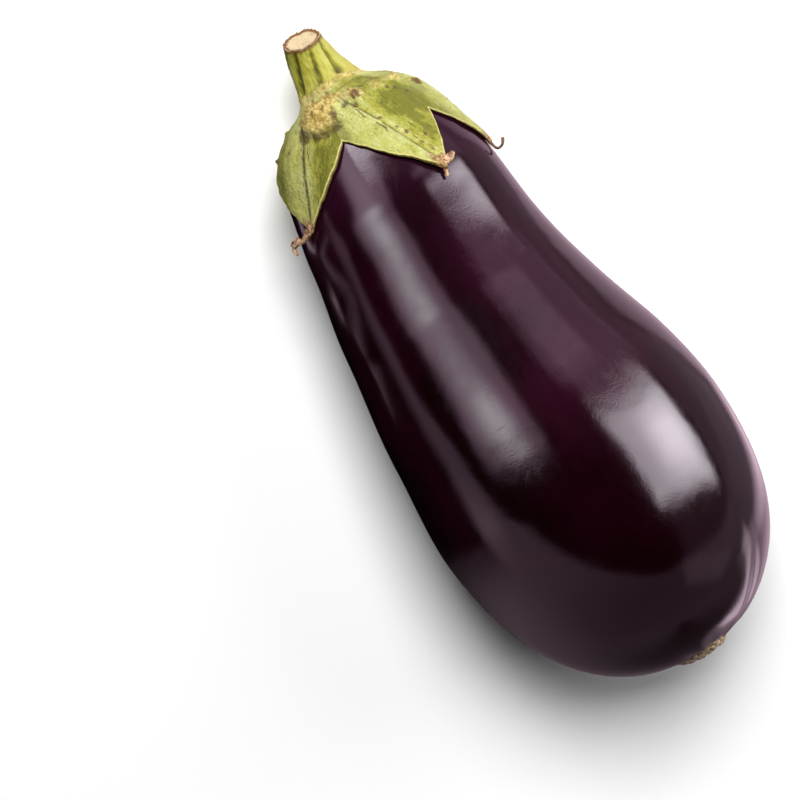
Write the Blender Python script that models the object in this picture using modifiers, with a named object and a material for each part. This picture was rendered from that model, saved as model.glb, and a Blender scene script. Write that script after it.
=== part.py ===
"""A pear-shaped eggplant as picked, lying on its side on its belly and its calyx.

Every piece is shaped in the fruit's own frame, in millimetres: X runs along the fruit from the stem end to
the blossom end, Y runs across it and Z points up. An empty then tilts the fruit into its resting place, in
metres, with the centre of the flat spot under the belly at the origin.
"""

import math

import bmesh
import bpy
import numpy as np
from mathutils import Vector
from mathutils.geometry import interpolate_bezier

MM = 0.001

# --- Driving dimensions, in millimetres and degrees ---

FRUIT_LENGTH = 187.5
BELLY_RADIUS = 45.2
GAP = 0.4  # clearance between a piece and the one that it sits on

# The fruit's outline from stem end to blossom end: (along, radius, slope, handle before, handle after).
OUTLINE = [
    (0.0, 0.0, 90.0, 0.0, 15.5),
    (18.9, 26.3, 14.9, 11.6, 27.9),
    (67.9, 35.0, 9.7, 44.0, 7.0),
    (127.0, BELLY_RADIUS, 0.0, 17.0, 49.9),
    (FRUIT_LENGTH, 0.0, -90.0, 15.2, 0.0),
]
OUTLINE_STEPS = 12  # points on each stretch of the outline
FRUIT_SIDES = 64

# The middle line of the fruit swings across by these amounts: (height, centre, spread).
SWAYS = [(2.3, 0.0, 45.0), (-1.1, 74.0, 24.0), (0.5, 175.0, 55.0)]

# Broad flats and ribs that run along the fruit: (ribs around, share of the radius, turn).
RIBS = [(3, 0.006, 20.0), (5, 0.005, 75.0), (8, 0.003, 10.0)]

REST_TILT = 9.1  # the stem end lies this much lower than the blossom end
REST_ALONG = 109.2  # where along the fruit the belly meets the table
FLAT_DEPTH = 0.8  # how much of the belly the resting spot takes off

# The calyx. Angles run round the fruit from straight up (0) towards +Y (90). Lengths run over the skin from
# the stem end. A notch is (angle, length). A lobe is (tip angle, tip length, bulge before, bulge after, lift
# at its tip).
NOTCHES = [(-93.0, 26.0), (-10.0, 31.2), (48.0, 36.8), (118.0, 31.0), (190.0, 30.0)]
LOBES = [
    (-55.5, 46.8, 1.2, 0.8, 0.6),
    (27.5, 54.0, 1.02, 0.92, 0.6),
    (79.0, 53.8, 1.0, 1.1, 0.0),
    (155.0, 50.0, 1.0, 0.9, 0.1),
    (227.0, 49.0, 1.1, 0.9, 0.2),
]
LOBE_COLUMNS = 5  # mesh columns from a notch to a tip
CALYX_ROWS = 12
CALYX_THICKNESS = 1.1
EDGE_THICKNESS = 0.8
KEEL_HEIGHT = 0.4  # how much thicker a lobe is along its middle
COLLAR_TOP = -3.3  # where the thick collar under the stem ends, along the fruit
COLLAR_SPREAD = 4.5  # how far outside the stem the collar thins to nothing

# The dried tip of each lobe: (length, width at its root, how far it lifts, sideways swing).
DRY_TIPS = [
    (3.6, 1.8, 3.6, -7.5),
    (3.0, 2.4, 2.6, 2.6),
    (4.0, 1.2, 3.8, 0.2),
    (3.2, 1.2, 0.8, -1.0),
    (3.6, 1.2, 0.9, 1.2),
]

# The stem: its middle line from the collar to the cut, and its radius there.
STEM_LINE = [
    ((COLLAR_TOP - GAP, 4.4, 0.4), 8.7),
    ((-5.2, 4.4, 0.4), 8.4),
    ((-7.4, 4.4, 1.1), 7.8),
    ((-10.2, 4.5, 2.2), 7.0),
    ((-13.1, 4.8, 3.7), 6.2),
    ((-16.5, 5.3, 5.8), 5.5),
]
STEM_FLUTES = 7
STEM_SIDES = 42
FLUTE_DEPTH = 0.05  # share of the stem's radius

# The corky scar where the flower was.
SCAR_RADIUS = 8.0
SCAR_THICKNESS = 0.8
SCAR_RINGS = 5
SCAR_SIDES = 28

COLOURS = {
    "fruit": ((0.022, 0.004, 0.014), 0.18),
    "calyx": ((0.46, 0.47, 0.14), 0.55),
    "stem": ((0.40, 0.42, 0.10), 0.55),
    "blossom_scar": ((0.30, 0.20, 0.10), 0.85),
}


def fruit_outline():
    """The outline as three arrays: distance along the fruit, radius, and length over the skin."""
    points = []
    for start, end in zip(OUTLINE, OUTLINE[1:]):
        knots = []
        for (along, radius, slope, before, after), sign in ((start, 1.0), (end, -1.0)):
            reach = after if sign > 0 else before
            angle = math.radians(slope)
            knot = Vector((along, radius, 0.0))
            knots.append((knot, knot + sign * reach * Vector((math.cos(angle), math.sin(angle), 0.0))))
        (first, first_handle), (last, last_handle) = knots
        stretch = interpolate_bezier(first, first_handle, last_handle, last, OUTLINE_STEPS)
        points += stretch if not points else stretch[1:]
    along, radius = np.array([(p.x, max(p.y, 0.0)) for p in points]).T
    skin_length = np.concatenate([[0.0], np.cumsum(np.hypot(np.diff(along), np.diff(radius)))])
    return along, radius, skin_length


ALONG, RADIUS, SKIN_LENGTH = fruit_outline()


def sway(along):
    """How far the fruit's middle line lies to +Y at this distance along it."""
    return sum(height * math.exp(-(((along - centre) / spread) ** 4)) for height, centre, spread in SWAYS)


def rib_factor(angle):
    """What the ribs multiply the fruit's radius by, at an angle in radians."""
    return 1.0 + sum(share * math.cos(count * angle + math.radians(turn)) for count, share, turn in RIBS)


def on_skin(angle, length, lift):
    """The point over the skin at an angle in radians and a length from the stem end, lifted off it."""
    step = 0.5
    here = [np.interp(length, SKIN_LENGTH, values) for values in (ALONG, RADIUS)]
    ahead = [np.interp(length + step, SKIN_LENGTH, values) for values in (ALONG, RADIUS)]
    behind = [np.interp(length - step, SKIN_LENGTH, values) for values in (ALONG, RADIUS)]
    tangent = Vector((ahead[0] - behind[0], ahead[1] - behind[1]))
    tangent = tangent.normalized() if tangent.length else Vector((0.0, 1.0))
    if length < step:
        tangent = Vector((0.0, 1.0))
    if length > SKIN_LENGTH[-1] - step:
        tangent = Vector((0.0, -1.0))
    along = here[0] - lift * tangent.y
    reach = here[1] * rib_factor(angle) + lift * tangent.x
    return Vector((along, sway(here[0]) + reach * math.sin(angle), reach * math.cos(angle)))


def material(name):
    """A Principled BSDF with the colour and roughness of one piece."""
    colour, roughness = COLOURS[name]
    made = bpy.data.materials.new(name)
    made.use_nodes = True
    shader = made.node_tree.nodes["Principled BSDF"]
    shader.inputs["Base Color"].default_value = (*colour, 1.0)
    shader.inputs["Roughness"].default_value = roughness
    shader.inputs["Metallic"].default_value = 0.0
    made.diffuse_color = (*colour, 1.0)
    return made


def new_object(name, mesh, collection):
    """An object with this mesh, linked to the collection."""
    made = bpy.data.objects.new(name, mesh)
    collection.objects.link(made)
    return made


def evaluated_mesh(obj):
    """The object's mesh with its modifiers or its curve worked out, and loose caps welded on."""
    bpy.context.view_layer.update()
    graph = bpy.context.evaluated_depsgraph_get()
    mesh = bpy.data.meshes.new_from_object(obj.evaluated_get(graph))
    shape = bmesh.new()
    shape.from_mesh(mesh)
    bmesh.ops.remove_doubles(shape, verts=shape.verts, dist=0.01)
    bmesh.ops.recalc_face_normals(shape, faces=shape.faces)
    shape.to_mesh(mesh)
    shape.free()
    return mesh


def bake(obj):
    """Replaces the object's modifiers by the mesh that they make."""
    mesh = evaluated_mesh(obj)
    obj.modifiers.clear()
    obj.data = mesh


def wrapped_grid(name, columns, rows, place, thickness, collection):
    """A shell that wraps round the fruit: a grid whose corners go to place(column, row), made solid.

    place gives each corner's point and its share of the thickness. The grid closes on itself, and its first
    row shrinks to one point.
    """
    shape = bmesh.new()
    weights = shape.verts.layers.deform.verify()
    bmesh.ops.create_grid(shape, x_segments=columns, y_segments=rows, size=0.5)
    for vertex in shape.verts:
        column = round((vertex.co.x + 0.5) * columns)
        row = round((vertex.co.y + 0.5) * rows)
        vertex.co, share = place(column % columns, row)
        vertex[weights][0] = share
    bmesh.ops.remove_doubles(shape, verts=shape.verts, dist=0.001)
    bmesh.ops.recalc_face_normals(shape, faces=shape.faces)
    mesh = bpy.data.meshes.new(name)
    shape.to_mesh(mesh)
    shape.free()
    piece = new_object(name, mesh, collection)
    group = piece.vertex_groups.new(name="thickness")
    shell = piece.modifiers.new("shell", "SOLIDIFY")
    shell.thickness = thickness
    shell.offset = 1.0
    shell.vertex_group = group.name
    bake(piece)
    return piece


def make_fruit(collection):
    """The fruit's body: its outline turned round the X axis, then swayed and ribbed."""
    profile = bpy.data.meshes.new("fruit")
    corners = [(along, radius, 0.0) for along, radius in zip(ALONG, RADIUS)]
    profile.from_pydata(corners, [(i, i + 1) for i in range(len(corners) - 1)], [])
    fruit = new_object("fruit", profile, collection)
    screw = fruit.modifiers.new("turn", "SCREW")
    screw.axis = "X"
    screw.steps = screw.render_steps = FRUIT_SIDES
    screw.use_merge_vertices = True
    screw.merge_threshold = 0.0001
    bake(fruit)
    for vertex in fruit.data.vertices:
        along, across, up = vertex.co
        factor = rib_factor(math.atan2(across, up))
        vertex.co = (along, across * factor + sway(along), up * factor)
    return fruit


def calyx_edge():
    """The edge of the calyx as (angle in radians, length over the skin), once round the fruit."""
    edge = []
    for index, (tip_angle, tip_length, bulge_before, bulge_after, _) in enumerate(LOBES):
        before = NOTCHES[index]
        after = NOTCHES[(index + 1) % len(NOTCHES)]
        after_angle = after[0] if after[0] > tip_angle else after[0] + 360.0
        sides = [
            [(before[0], before[1], bulge_before, step / LOBE_COLUMNS) for step in range(LOBE_COLUMNS)],
            [(after_angle, after[1], bulge_after, 1.0 - step / LOBE_COLUMNS) for step in range(LOBE_COLUMNS)],
        ]
        for notch_angle, notch_length, bulge, share in sides[0] + sides[1]:
            angle = notch_angle + (tip_angle - notch_angle) * share
            edge.append((math.radians(angle), notch_length + (tip_length - notch_length) * share**bulge))
    return edge


def calyx_thickness(vertex, keel_share, edge_share):
    """The calyx's thickness over a point of its inner face: a collar under the stem, keels on the lobes."""
    (_, stem_across, stem_up), stem_radius = STEM_LINE[0]
    outside = math.hypot(vertex.y - stem_across, vertex.z - stem_up) - stem_radius
    collar = (vertex.x - COLLAR_TOP) * (1.0 - max(outside, 0.0) / COLLAR_SPREAD)
    blade = CALYX_THICKNESS + (EDGE_THICKNESS - CALYX_THICKNESS) * edge_share
    return max(blade + KEEL_HEIGHT * keel_share, collar)


def make_calyx(collection):
    """The calyx: one star-shaped shell over the fruit's shoulder, with a dried tip on each lobe."""
    edge = calyx_edge()
    thickest = CALYX_THICKNESS - COLLAR_TOP

    def place(column, row):
        angle, length = edge[column]
        share = row / CALYX_ROWS
        lobe, step = divmod(column, 2 * LOBE_COLUMNS)
        towards_tip = 1.0 - abs(step - LOBE_COLUMNS) / LOBE_COLUMNS
        point = on_skin(angle, share * length, GAP + LOBES[lobe][4] * towards_tip * share**5)
        return point, calyx_thickness(point, towards_tip**3 * share, share) / thickest

    calyx = wrapped_grid("calyx", len(edge), CALYX_ROWS, place, thickest, collection)
    for index, lobe in enumerate(LOBES):
        join(calyx, dry_tip(f"dry_tip_{index + 1}", lobe, DRY_TIPS[index], collection))
    return calyx


def dry_tip(name, lobe, shape, collection):
    """The shrivelled tip of a lobe: a thin tapering strand that curls off the skin."""
    tip_angle, tip_length, start_lift = math.radians(lobe[0]), lobe[1], GAP + lobe[4] + EDGE_THICKNESS / 2
    length, width, lift, swing = shape
    points = 8
    strand = bpy.data.curves.new(name, "CURVE")
    strand.dimensions = "3D"
    strand.bevel_depth = width / 2
    strand.bevel_resolution = 1
    strand.use_fill_caps = True
    spline = strand.splines.new("POLY")
    spline.points.add(points - 1)
    root_back = 3.0
    for index, point in enumerate(spline.points):
        share = index / (points - 1)
        travelled = (length + root_back) * share - root_back
        out = max(travelled, 0.0) / length
        turn = swing * out**2 / np.interp(tip_length, SKIN_LENGTH, RADIUS)
        place = on_skin(tip_angle + turn, tip_length + travelled, start_lift + lift * out**2)
        point.co = (*place, 1.0)
        point.radius = 1.0 - 0.45 * share
    return new_object(name, strand, collection)


def join(body, curve):
    """Joins a curve's solid to a mesh object with a Boolean union, and removes the curve."""
    solid = new_object(curve.name + "_solid", evaluated_mesh(curve), body.users_collection[0])
    union = body.modifiers.new("union", "BOOLEAN")
    union.operation = "UNION"
    union.object = solid
    mesh = evaluated_mesh(body)
    body.modifiers.clear()
    body.data = mesh
    bpy.data.objects.remove(solid)
    bpy.data.objects.remove(curve)


def make_stem(collection):
    """The stem: a fluted trunk that tapers from the calyx to its cut end."""
    flutes = bpy.data.curves.new("stem_section", "CURVE")
    flutes.dimensions = "2D"
    section = flutes.splines.new("POLY")
    section.points.add(STEM_SIDES - 1)
    section.use_cyclic_u = True
    for index, point in enumerate(section.points):
        angle = 2 * math.pi * index / STEM_SIDES
        reach = 1.0 + FLUTE_DEPTH * math.cos(STEM_FLUTES * angle)
        point.co = (reach * math.cos(angle), reach * math.sin(angle), 0.0, 1.0)
    section_object = new_object("stem_section", flutes, collection)

    line = bpy.data.curves.new("stem", "CURVE")
    line.dimensions = "3D"
    line.bevel_mode = "OBJECT"
    line.bevel_object = section_object
    line.use_fill_caps = True
    line.resolution_u = 3
    spline = line.splines.new("NURBS")
    spline.points.add(len(STEM_LINE) - 1)
    spline.use_endpoint_u = True
    spline.order_u = 3
    for point, (place, radius) in zip(spline.points, STEM_LINE):
        point.co = (*place, 1.0)
        point.radius = radius
    curve = new_object("stem_line", line, collection)
    stem = new_object("stem", evaluated_mesh(curve), collection)
    bpy.data.objects.remove(curve)
    bpy.data.objects.remove(section_object)
    return stem


def make_scar(collection):
    """The blossom scar: a thin corky patch with an uneven outline, over the fruit's blossom end."""

    def place(column, row):
        angle = 2 * math.pi * column / SCAR_SIDES
        uneven = 1.0 + 0.10 * math.sin(3 * angle + 0.6) + 0.06 * math.sin(7 * angle)
        reach = SCAR_RADIUS * uneven * row / SCAR_RINGS
        return on_skin(angle, SKIN_LENGTH[-1] - reach, GAP), 1.0

    return wrapped_grid("blossom_scar", SCAR_SIDES, SCAR_RINGS, place, SCAR_THICKNESS, collection)


def resting_place():
    """An empty that carries the fruit's frame into the resting pose, the belly's contact at the origin."""
    tilt = math.radians(REST_TILT)
    radius = np.interp(REST_ALONG, ALONG, RADIUS) * rib_factor(math.pi)
    place = bpy.data.objects.new("resting_place", None)
    place.rotation_euler = (0.0, -tilt, 0.0)
    place.scale = (MM, MM, MM)
    place.location = MM * Vector(
        (
            -REST_ALONG * math.cos(tilt) - radius * math.sin(tilt),
            -sway(REST_ALONG),
            radius * math.cos(tilt) - REST_ALONG * math.sin(tilt) - FLAT_DEPTH,
        )
    )
    return place


def cut_flat(fruit, cutters):
    """Takes the small flat spot off the belly, where the fruit rests on the table."""
    bpy.ops.mesh.primitive_cube_add(size=1.0, location=(0.0, 0.0, -0.02))
    table = bpy.context.object
    table.name = "table_cutter"
    table.scale = (0.4, 0.2, 0.04)
    table.hide_render = True
    table.display_type = "WIRE"
    for holder in table.users_collection:
        holder.objects.unlink(table)
    cutters.objects.link(table)
    flat = fruit.modifiers.new("resting_spot", "BOOLEAN")
    flat.operation = "DIFFERENCE"
    flat.object = table


def main():
    for old in list(bpy.data.objects):
        bpy.data.objects.remove(old)
    eggplant = bpy.data.collections.new("eggplant")
    cutters = bpy.data.collections.new("cutters")
    for collection in (eggplant, cutters):
        bpy.context.scene.collection.children.link(collection)

    place = resting_place()
    eggplant.objects.link(place)
    pieces = [make_fruit(eggplant), make_calyx(eggplant), make_stem(eggplant), make_scar(eggplant)]
    for piece in pieces:
        piece.parent = place
        piece.data.materials.append(material(piece.name))
        piece.data.shade_smooth()
        piece.data.set_sharp_from_angle(angle=math.radians(40.0))
    cut_flat(pieces[0], cutters)


main()
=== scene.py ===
"""A pear-shaped eggplant lying on a pale table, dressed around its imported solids.

Shapes are worked out in the fruit's own frame, in millimetres: X runs along the fruit from the
stem end to the blossom end, Y runs across it and Z points up. The RestingPlace class carries them
to where the fruit lies, in metres. Angles round the fruit start at the top and grow towards +Y,
and lengths run over its skin from the stem end.
"""

from __future__ import annotations

import logging
import math
from dataclasses import dataclass
from enum import Enum
from functools import cached_property

import bmesh
import bpy
import numpy as np
from mathutils import Matrix, Vector, noise
from mathutils.geometry import interpolate_bezier

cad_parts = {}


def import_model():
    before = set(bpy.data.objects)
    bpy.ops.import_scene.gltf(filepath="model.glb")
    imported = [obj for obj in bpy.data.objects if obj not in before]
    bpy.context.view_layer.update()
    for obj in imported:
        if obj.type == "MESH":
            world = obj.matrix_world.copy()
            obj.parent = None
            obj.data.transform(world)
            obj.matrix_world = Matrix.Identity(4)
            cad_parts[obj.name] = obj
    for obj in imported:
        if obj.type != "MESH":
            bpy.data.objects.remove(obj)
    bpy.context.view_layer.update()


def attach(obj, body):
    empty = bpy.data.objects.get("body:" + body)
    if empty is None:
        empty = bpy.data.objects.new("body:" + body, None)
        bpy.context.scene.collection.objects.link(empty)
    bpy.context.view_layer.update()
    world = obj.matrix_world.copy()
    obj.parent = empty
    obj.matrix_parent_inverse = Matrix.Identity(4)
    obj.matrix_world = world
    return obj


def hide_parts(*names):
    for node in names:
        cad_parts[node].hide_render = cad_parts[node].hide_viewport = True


MM = 0.001
BODY = "root"
SEED_SHIFT = (17.3, 5.1, 9.7)
ROUND = 360.0
log = logging.getLogger("eggplant")

Colour = tuple[float, float, float]
Point = tuple[float, float, float]
Bend = tuple[float, float, float, float]


class Node(Enum):
    """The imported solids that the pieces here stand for."""

    FRUIT = "fruit"
    CALYX = "calyx"
    STEM = "stem"
    SCAR = "blossom_scar"


class Slot(Enum):
    """The record's material slots."""

    SKIN = "purple_skin"
    HUSK = "calyx_green"
    BARK = "stem_green"
    CORK = "scar_cork"


class Mark(Enum):
    """Numbers kept on the points of a mesh for its material to read."""

    RIM = "rim"
    KEEL = "keel"
    KNOB = "knob"
    # Painted shade: how much crevices, grooves and hollows are darkened.
    CREVICE = "crevice"
    SPOT = "spot"
    # Fold height less valley depth; the husk is painted lighter where it is high and darker where it is low,
    # as painted light and shade.
    FOLD = "fold"
    WIDTH = "width"
    GROWTH = "growth"
    DRY = "dry"
    # The stem's ridge height; the bark is painted darker in the furrows and paler on the crests, as painted
    # shade and light.
    RIDGE = "ridge"
    ALONG = "along"


# --- Shape maths -------------------------------------------------------------


def smooth_step(values: np.ndarray, low: float, high: float) -> np.ndarray:
    """Rises smoothly from 0 at low to 1 at high.

    Args:
        values: The numbers to map.
        low: Where the result leaves 0.
        high: Where the result reaches 1. It may lie below low, and then the result falls.

    Returns:
        An array of the same shape, from 0 to 1.
    """
    share = np.clip((values - low) / (high - low), 0.0, 1.0)
    return share * share * (3.0 - 2.0 * share)


def hump(distance: np.ndarray, reach: float) -> np.ndarray:
    """A soft hump: 1 at no distance and 0.37 at its reach."""
    return np.exp(-((distance / reach) ** 2))


def distance(points: np.ndarray, place: np.ndarray) -> np.ndarray:
    """How far each point is from a place."""
    return np.linalg.norm(points - place, axis=-1)


def once_round(columns: int) -> np.ndarray:
    """Evenly spaced angles once round, in radians."""
    return np.linspace(0.0, 2.0 * math.pi, columns, endpoint=False)


def turbulence(points: np.ndarray, size: float, seed: int, octaves: int = 3) -> np.ndarray:
    """Smooth random unevenness, about -1 to 1.

    Args:
        points: An array of points, with x, y and z last.
        size: How wide one wave is, in the points' unit.
        seed: Any whole number. Each gives other unevenness.
        octaves: How many finer layers it has.

    Returns:
        One number for each point.
    """
    flat = points.reshape(-1, 3) / size + np.array(SEED_SHIFT) * seed
    values = [noise.fractal(place, 1.0, 2.0, octaves) for place in flat.tolist()]
    return np.array(values).reshape(points.shape[:-1])


@dataclass(frozen=True)
class Knot:
    """A knot of the fruit's outline: its place, its slope in degrees and the reach of its two handles."""

    along: float
    radius: float
    slope: float
    before: float
    after: float

    def handle(self, reach: float) -> Vector:
        """The handle's end, reach millimetres ahead of the knot (or behind it, if negative)."""
        angle = math.radians(self.slope)
        return Vector((self.along + reach * math.cos(angle), self.radius + reach * math.sin(angle), 0.0))


@dataclass(frozen=True)
class FruitShape:
    """The fruit's bare form, shared by everything that sits on it."""

    knots: tuple[Knot, ...] = (
        Knot(0.0, 0.0, 90.0, 0.0, 15.5),
        Knot(18.9, 26.3, 14.9, 11.6, 27.9),
        Knot(67.9, 35.0, 9.7, 44.0, 7.0),
        Knot(127.0, 45.2, 0.0, 17.0, 49.9),
        Knot(187.5, 0.0, -90.0, 15.2, 0.0),
    )
    sways: tuple[Point, ...] = ((2.3, 0.0, 45.0), (-1.1, 74.0, 24.0), (0.5, 175.0, 55.0))
    ribs: tuple[Point, ...] = ((3, 0.006, 20.0), (5, 0.005, 75.0), (8, 0.003, 10.0))
    steps: int = 160
    uneven_size: float = 42.0
    uneven_height: float = 0.3

    @cached_property
    def outline(self) -> np.ndarray:
        """Works out the outline, with no kink at a knot: distance along the fruit, radius and skin length.

        Returns:
            Three rows of numbers, one column for each point.
        """
        points: list[Vector] = []
        for start, end in zip(self.knots, self.knots[1:]):
            ends = start.handle(0.0), start.handle(start.after), end.handle(-end.before), end.handle(0.0)
            stretch = interpolate_bezier(*ends, self.steps)
            points += stretch if not points else stretch[1:]
        along, radius = np.array([(point.x, max(point.y, 0.0)) for point in points]).T
        length = np.concatenate([[0.0], np.cumsum(np.hypot(np.diff(along), np.diff(radius)))])
        return np.stack([along, radius, length])

    @property
    def skin_length(self) -> float:
        """The length over the skin from the stem end to the blossom end."""
        return float(self.outline[2][-1])

    def sway(self, along: np.ndarray) -> np.ndarray:
        """How far the fruit's middle line lies to +Y at this distance along it."""
        flat_humps = (size * np.exp(-(((along - at) / spread) ** 4)) for size, at, spread in self.sways)
        return sum(flat_humps)

    def rib_factor(self, angle: np.ndarray) -> np.ndarray:
        """What the flats and ribs multiply the radius by."""
        waves = (share * np.cos(count * angle + math.radians(turn)) for count, share, turn in self.ribs)
        return 1.0 + sum(waves)

    def over_skin(self, angle: np.ndarray, length: np.ndarray, lift: np.ndarray | float = 0.0) -> np.ndarray:
        """Finds points over the skin.

        Args:
            angle: Radians round the fruit.
            length: Millimetres over the skin from the stem end.
            lift: Millimetres straight off the skin.

        Returns:
            The points, in the fruit's frame.
        """
        angle, length, lift = np.broadcast_arrays(angle, length, lift)
        along_of, radius_of, length_of = self.outline
        step = 0.6
        along = np.interp(length, length_of, along_of)
        radius = np.interp(length, length_of, radius_of)
        run = np.interp(length + step, length_of, along_of) - np.interp(length - step, length_of, along_of)
        rise = np.interp(length + step, length_of, radius_of) - np.interp(length - step, length_of, radius_of)
        at_pole = (length < step) | (length > length_of[-1] - step)
        run = np.where(at_pole, 0.0, run)
        rise = np.where(at_pole, np.where(length < step, 1.0, -1.0), rise)
        size = np.hypot(run, rise)
        run, rise = run / size, rise / size
        reach = radius * self.rib_factor(angle)
        bare = np.stack([along, reach * np.sin(angle), reach * np.cos(angle)], axis=-1)
        lift = lift + self.uneven_height * turbulence(bare, self.uneven_size, 3, 2)
        reach = reach + lift * run
        across = self.sway(along) + reach * np.sin(angle)
        return np.stack([along - lift * rise, across, reach * np.cos(angle)], axis=-1)


@dataclass(frozen=True)
class RestingPlace:
    """Where the fruit lies: on its belly and its calyx, with the belly's contact at the origin."""

    shape: FruitShape
    tilt: float = 9.1
    along: float = 109.2
    flat_depth: float = 0.8

    @cached_property
    def matrix(self) -> Matrix:
        """Works out what carries points from the fruit's frame, in millimetres, to the table's, in metres.

        Returns:
            The matrix.
        """
        tilt = math.radians(self.tilt)
        radius = float(np.interp(self.along, *self.shape.outline[:2]) * self.shape.rib_factor(math.pi))
        place = Vector(
            (
                -self.along * math.cos(tilt) - radius * math.sin(tilt),
                -float(self.shape.sway(np.float64(self.along))),
                radius * math.cos(tilt) - self.along * math.sin(tilt) - self.flat_depth,
            )
        )
        return Matrix.LocRotScale(place * MM, self.turn.to_quaternion(), Vector((MM, MM, MM)))

    @property
    def turn(self) -> Matrix:
        """The turn from the fruit's frame to the table's."""
        return Matrix.Rotation(-math.radians(self.tilt), 3, "Y")

    def put(self, points: np.ndarray) -> np.ndarray:
        """Moves points to the resting place, none of them below the table.

        Args:
            points: Points in the fruit's frame.

        Returns:
            The same points on the table.
        """
        matrix = np.array(self.matrix)
        placed = points @ matrix[:3, :3].T + matrix[:3, 3]
        placed[..., 2] = np.maximum(placed[..., 2], 0.0)
        return placed


# --- Meshes ------------------------------------------------------------------


def ring_mesh(name: str, rings: np.ndarray, marks: dict[Mark, np.ndarray]) -> bpy.types.Mesh:
    """Makes a closed skin from rings of points, each joined to the next.

    Args:
        name: The mesh's name.
        rings: Points in metres, round each ring. The first and last ring are single points.
        marks: A number for each point, under the name that the material reads.

    Returns:
        A closed mesh with its faces pointing out.
    """
    rows, columns = rings.shape[:2]
    corner = np.arange(rows * columns).reshape(rows, columns)
    ahead = np.roll(corner, -1, axis=1)
    faces = np.stack([corner[:-1], ahead[:-1], ahead[1:], corner[1:]], axis=-1).reshape(-1, 4)
    mesh = bpy.data.meshes.new(name)
    mesh.from_pydata(rings.reshape(-1, 3).tolist(), [], faces.tolist())
    for mark, values in marks.items():
        layer = mesh.attributes.new(mark.value, "FLOAT", "POINT")
        spread = np.broadcast_to(values, (rows, columns)).astype(np.float32)
        layer.data.foreach_set("value", spread.ravel())
    shape = bmesh.new()
    shape.from_mesh(mesh)
    bmesh.ops.remove_doubles(shape, verts=shape.verts, dist=0.001 * MM)
    bmesh.ops.recalc_face_normals(shape, faces=shape.faces)
    shape.to_mesh(mesh)
    shape.free()
    return mesh


def add_piece(
    name: str, mesh: bpy.types.Mesh, materials: list[bpy.types.Material], slot: Slot, *nodes: Node
) -> bpy.types.Object:
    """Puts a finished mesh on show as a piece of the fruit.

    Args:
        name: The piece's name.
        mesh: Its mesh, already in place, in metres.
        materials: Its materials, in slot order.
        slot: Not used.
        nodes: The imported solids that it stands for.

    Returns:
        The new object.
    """
    for material in materials:
        mesh.materials.append(material)
    if materials:
        mesh.shade_smooth()
    piece = bpy.data.objects.new(name, mesh)
    bpy.context.scene.collection.objects.link(piece)
    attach(piece, BODY)
    if nodes:
        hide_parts(*(node.value for node in nodes))
    log.info("%s: %d faces", name, len(mesh.polygons))
    return piece


# --- Node trees --------------------------------------------------------------


class Value:
    """A number, colour or vector in a node tree. Arithmetic on numbers adds Math nodes."""

    def __init__(self, tree: NodeTree, socket: bpy.types.NodeSocket) -> None:
        """Wraps an output socket of a tree."""
        self.tree = tree
        self.socket = socket

    def math(self, operation: str, *others: Value | float) -> Value:
        """Adds a Math node whose first number is this one."""
        sockets = dict(enumerate((self, *others)))
        return self.tree.value("ShaderNodeMath", {"operation": operation}, sockets)

    def __add__(self, other: Value | float) -> Value:
        """This plus other."""
        return self.math("ADD", other)

    def __sub__(self, other: Value | float) -> Value:
        """This minus other."""
        return self.math("SUBTRACT", other)

    def __rsub__(self, other: float) -> Value:
        """Other minus this."""
        return self.tree.value("ShaderNodeMath", {"operation": "SUBTRACT"}, {0: other, 1: self})

    def __mul__(self, other: Value | float) -> Value:
        """This times other."""
        return self.math("MULTIPLY", other)

    def __truediv__(self, other: Value | float) -> Value:
        """This divided by other."""
        return self.math("DIVIDE", other)

    __radd__ = __add__
    __rmul__ = __mul__

    def step(self, low: float, high: float) -> Value:
        """Rises smoothly from 0 at low to 1 at high, or falls if low is the larger.

        Args:
            low: Where the result leaves 0.
            high: Where the result reaches 1.

        Returns:
            A number from 0 to 1.
        """
        settings = {"interpolation_type": "SMOOTHSTEP"}
        ends = (high, low, 1.0, 0.0) if low > high else (low, high, 0.0, 1.0)
        return self.tree.value("ShaderNodeMapRange", settings, dict(enumerate((self, *ends))))

    def hump(self, centre: float, reach: float) -> Value:
        """A soft hump: 1 where this number is centre, and 0.37 a reach away."""
        offset = (self - centre) / reach
        return (offset * offset * -1.0).math("EXPONENT")


Input = Value | float | tuple | str | bpy.types.Material


class NodeTree:
    """Adds nodes to a tree: a material's, the world's or a geometry group's."""

    def __init__(self, tree: bpy.types.NodeTree) -> None:
        """Wraps a tree and empties it."""
        self.tree = tree
        tree.nodes.clear()

    def add(self, kind: str, settings: dict | None = None, sockets: dict | None = None) -> bpy.types.Node:
        """Adds any node.

        Args:
            kind: The node's type.
            settings: Its properties, set before its sockets. A ramp's are its stops.
            sockets: Numbers, colours or links for its inputs, by name or by place.

        Returns:
            The new node.
        """
        node = self.tree.nodes.new(kind)
        for name, setting in (settings or {}).items():
            if name == "stops":
                self.set_stops(node.color_ramp, setting)
            else:
                setattr(node, name, setting)
        for name, given in (sockets or {}).items():
            if isinstance(given, Value):
                self.tree.links.new(given.socket, node.inputs[name])
            else:
                node.inputs[name].default_value = given
        return node

    @staticmethod
    def set_stops(ramp: bpy.types.ColorRamp, stops: list[tuple[float, Colour]]) -> None:
        """Gives a colour ramp its stops.

        Args:
            ramp: The ramp.
            stops: The place and colour of each stop.
        """
        while len(ramp.elements) < len(stops):
            ramp.elements.new(0.5)
        for element, (place, colour) in zip(ramp.elements, stops):
            element.position = place
            element.color = (*colour, 1.0)

    def value(
        self, kind: str, settings: dict | None = None, sockets: dict | None = None, out: str | int = 0
    ) -> Value:
        """Adds any node, as add does, and gives its output of that name or place."""
        return Value(self, self.add(kind, settings, sockets).outputs[out])


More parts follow.
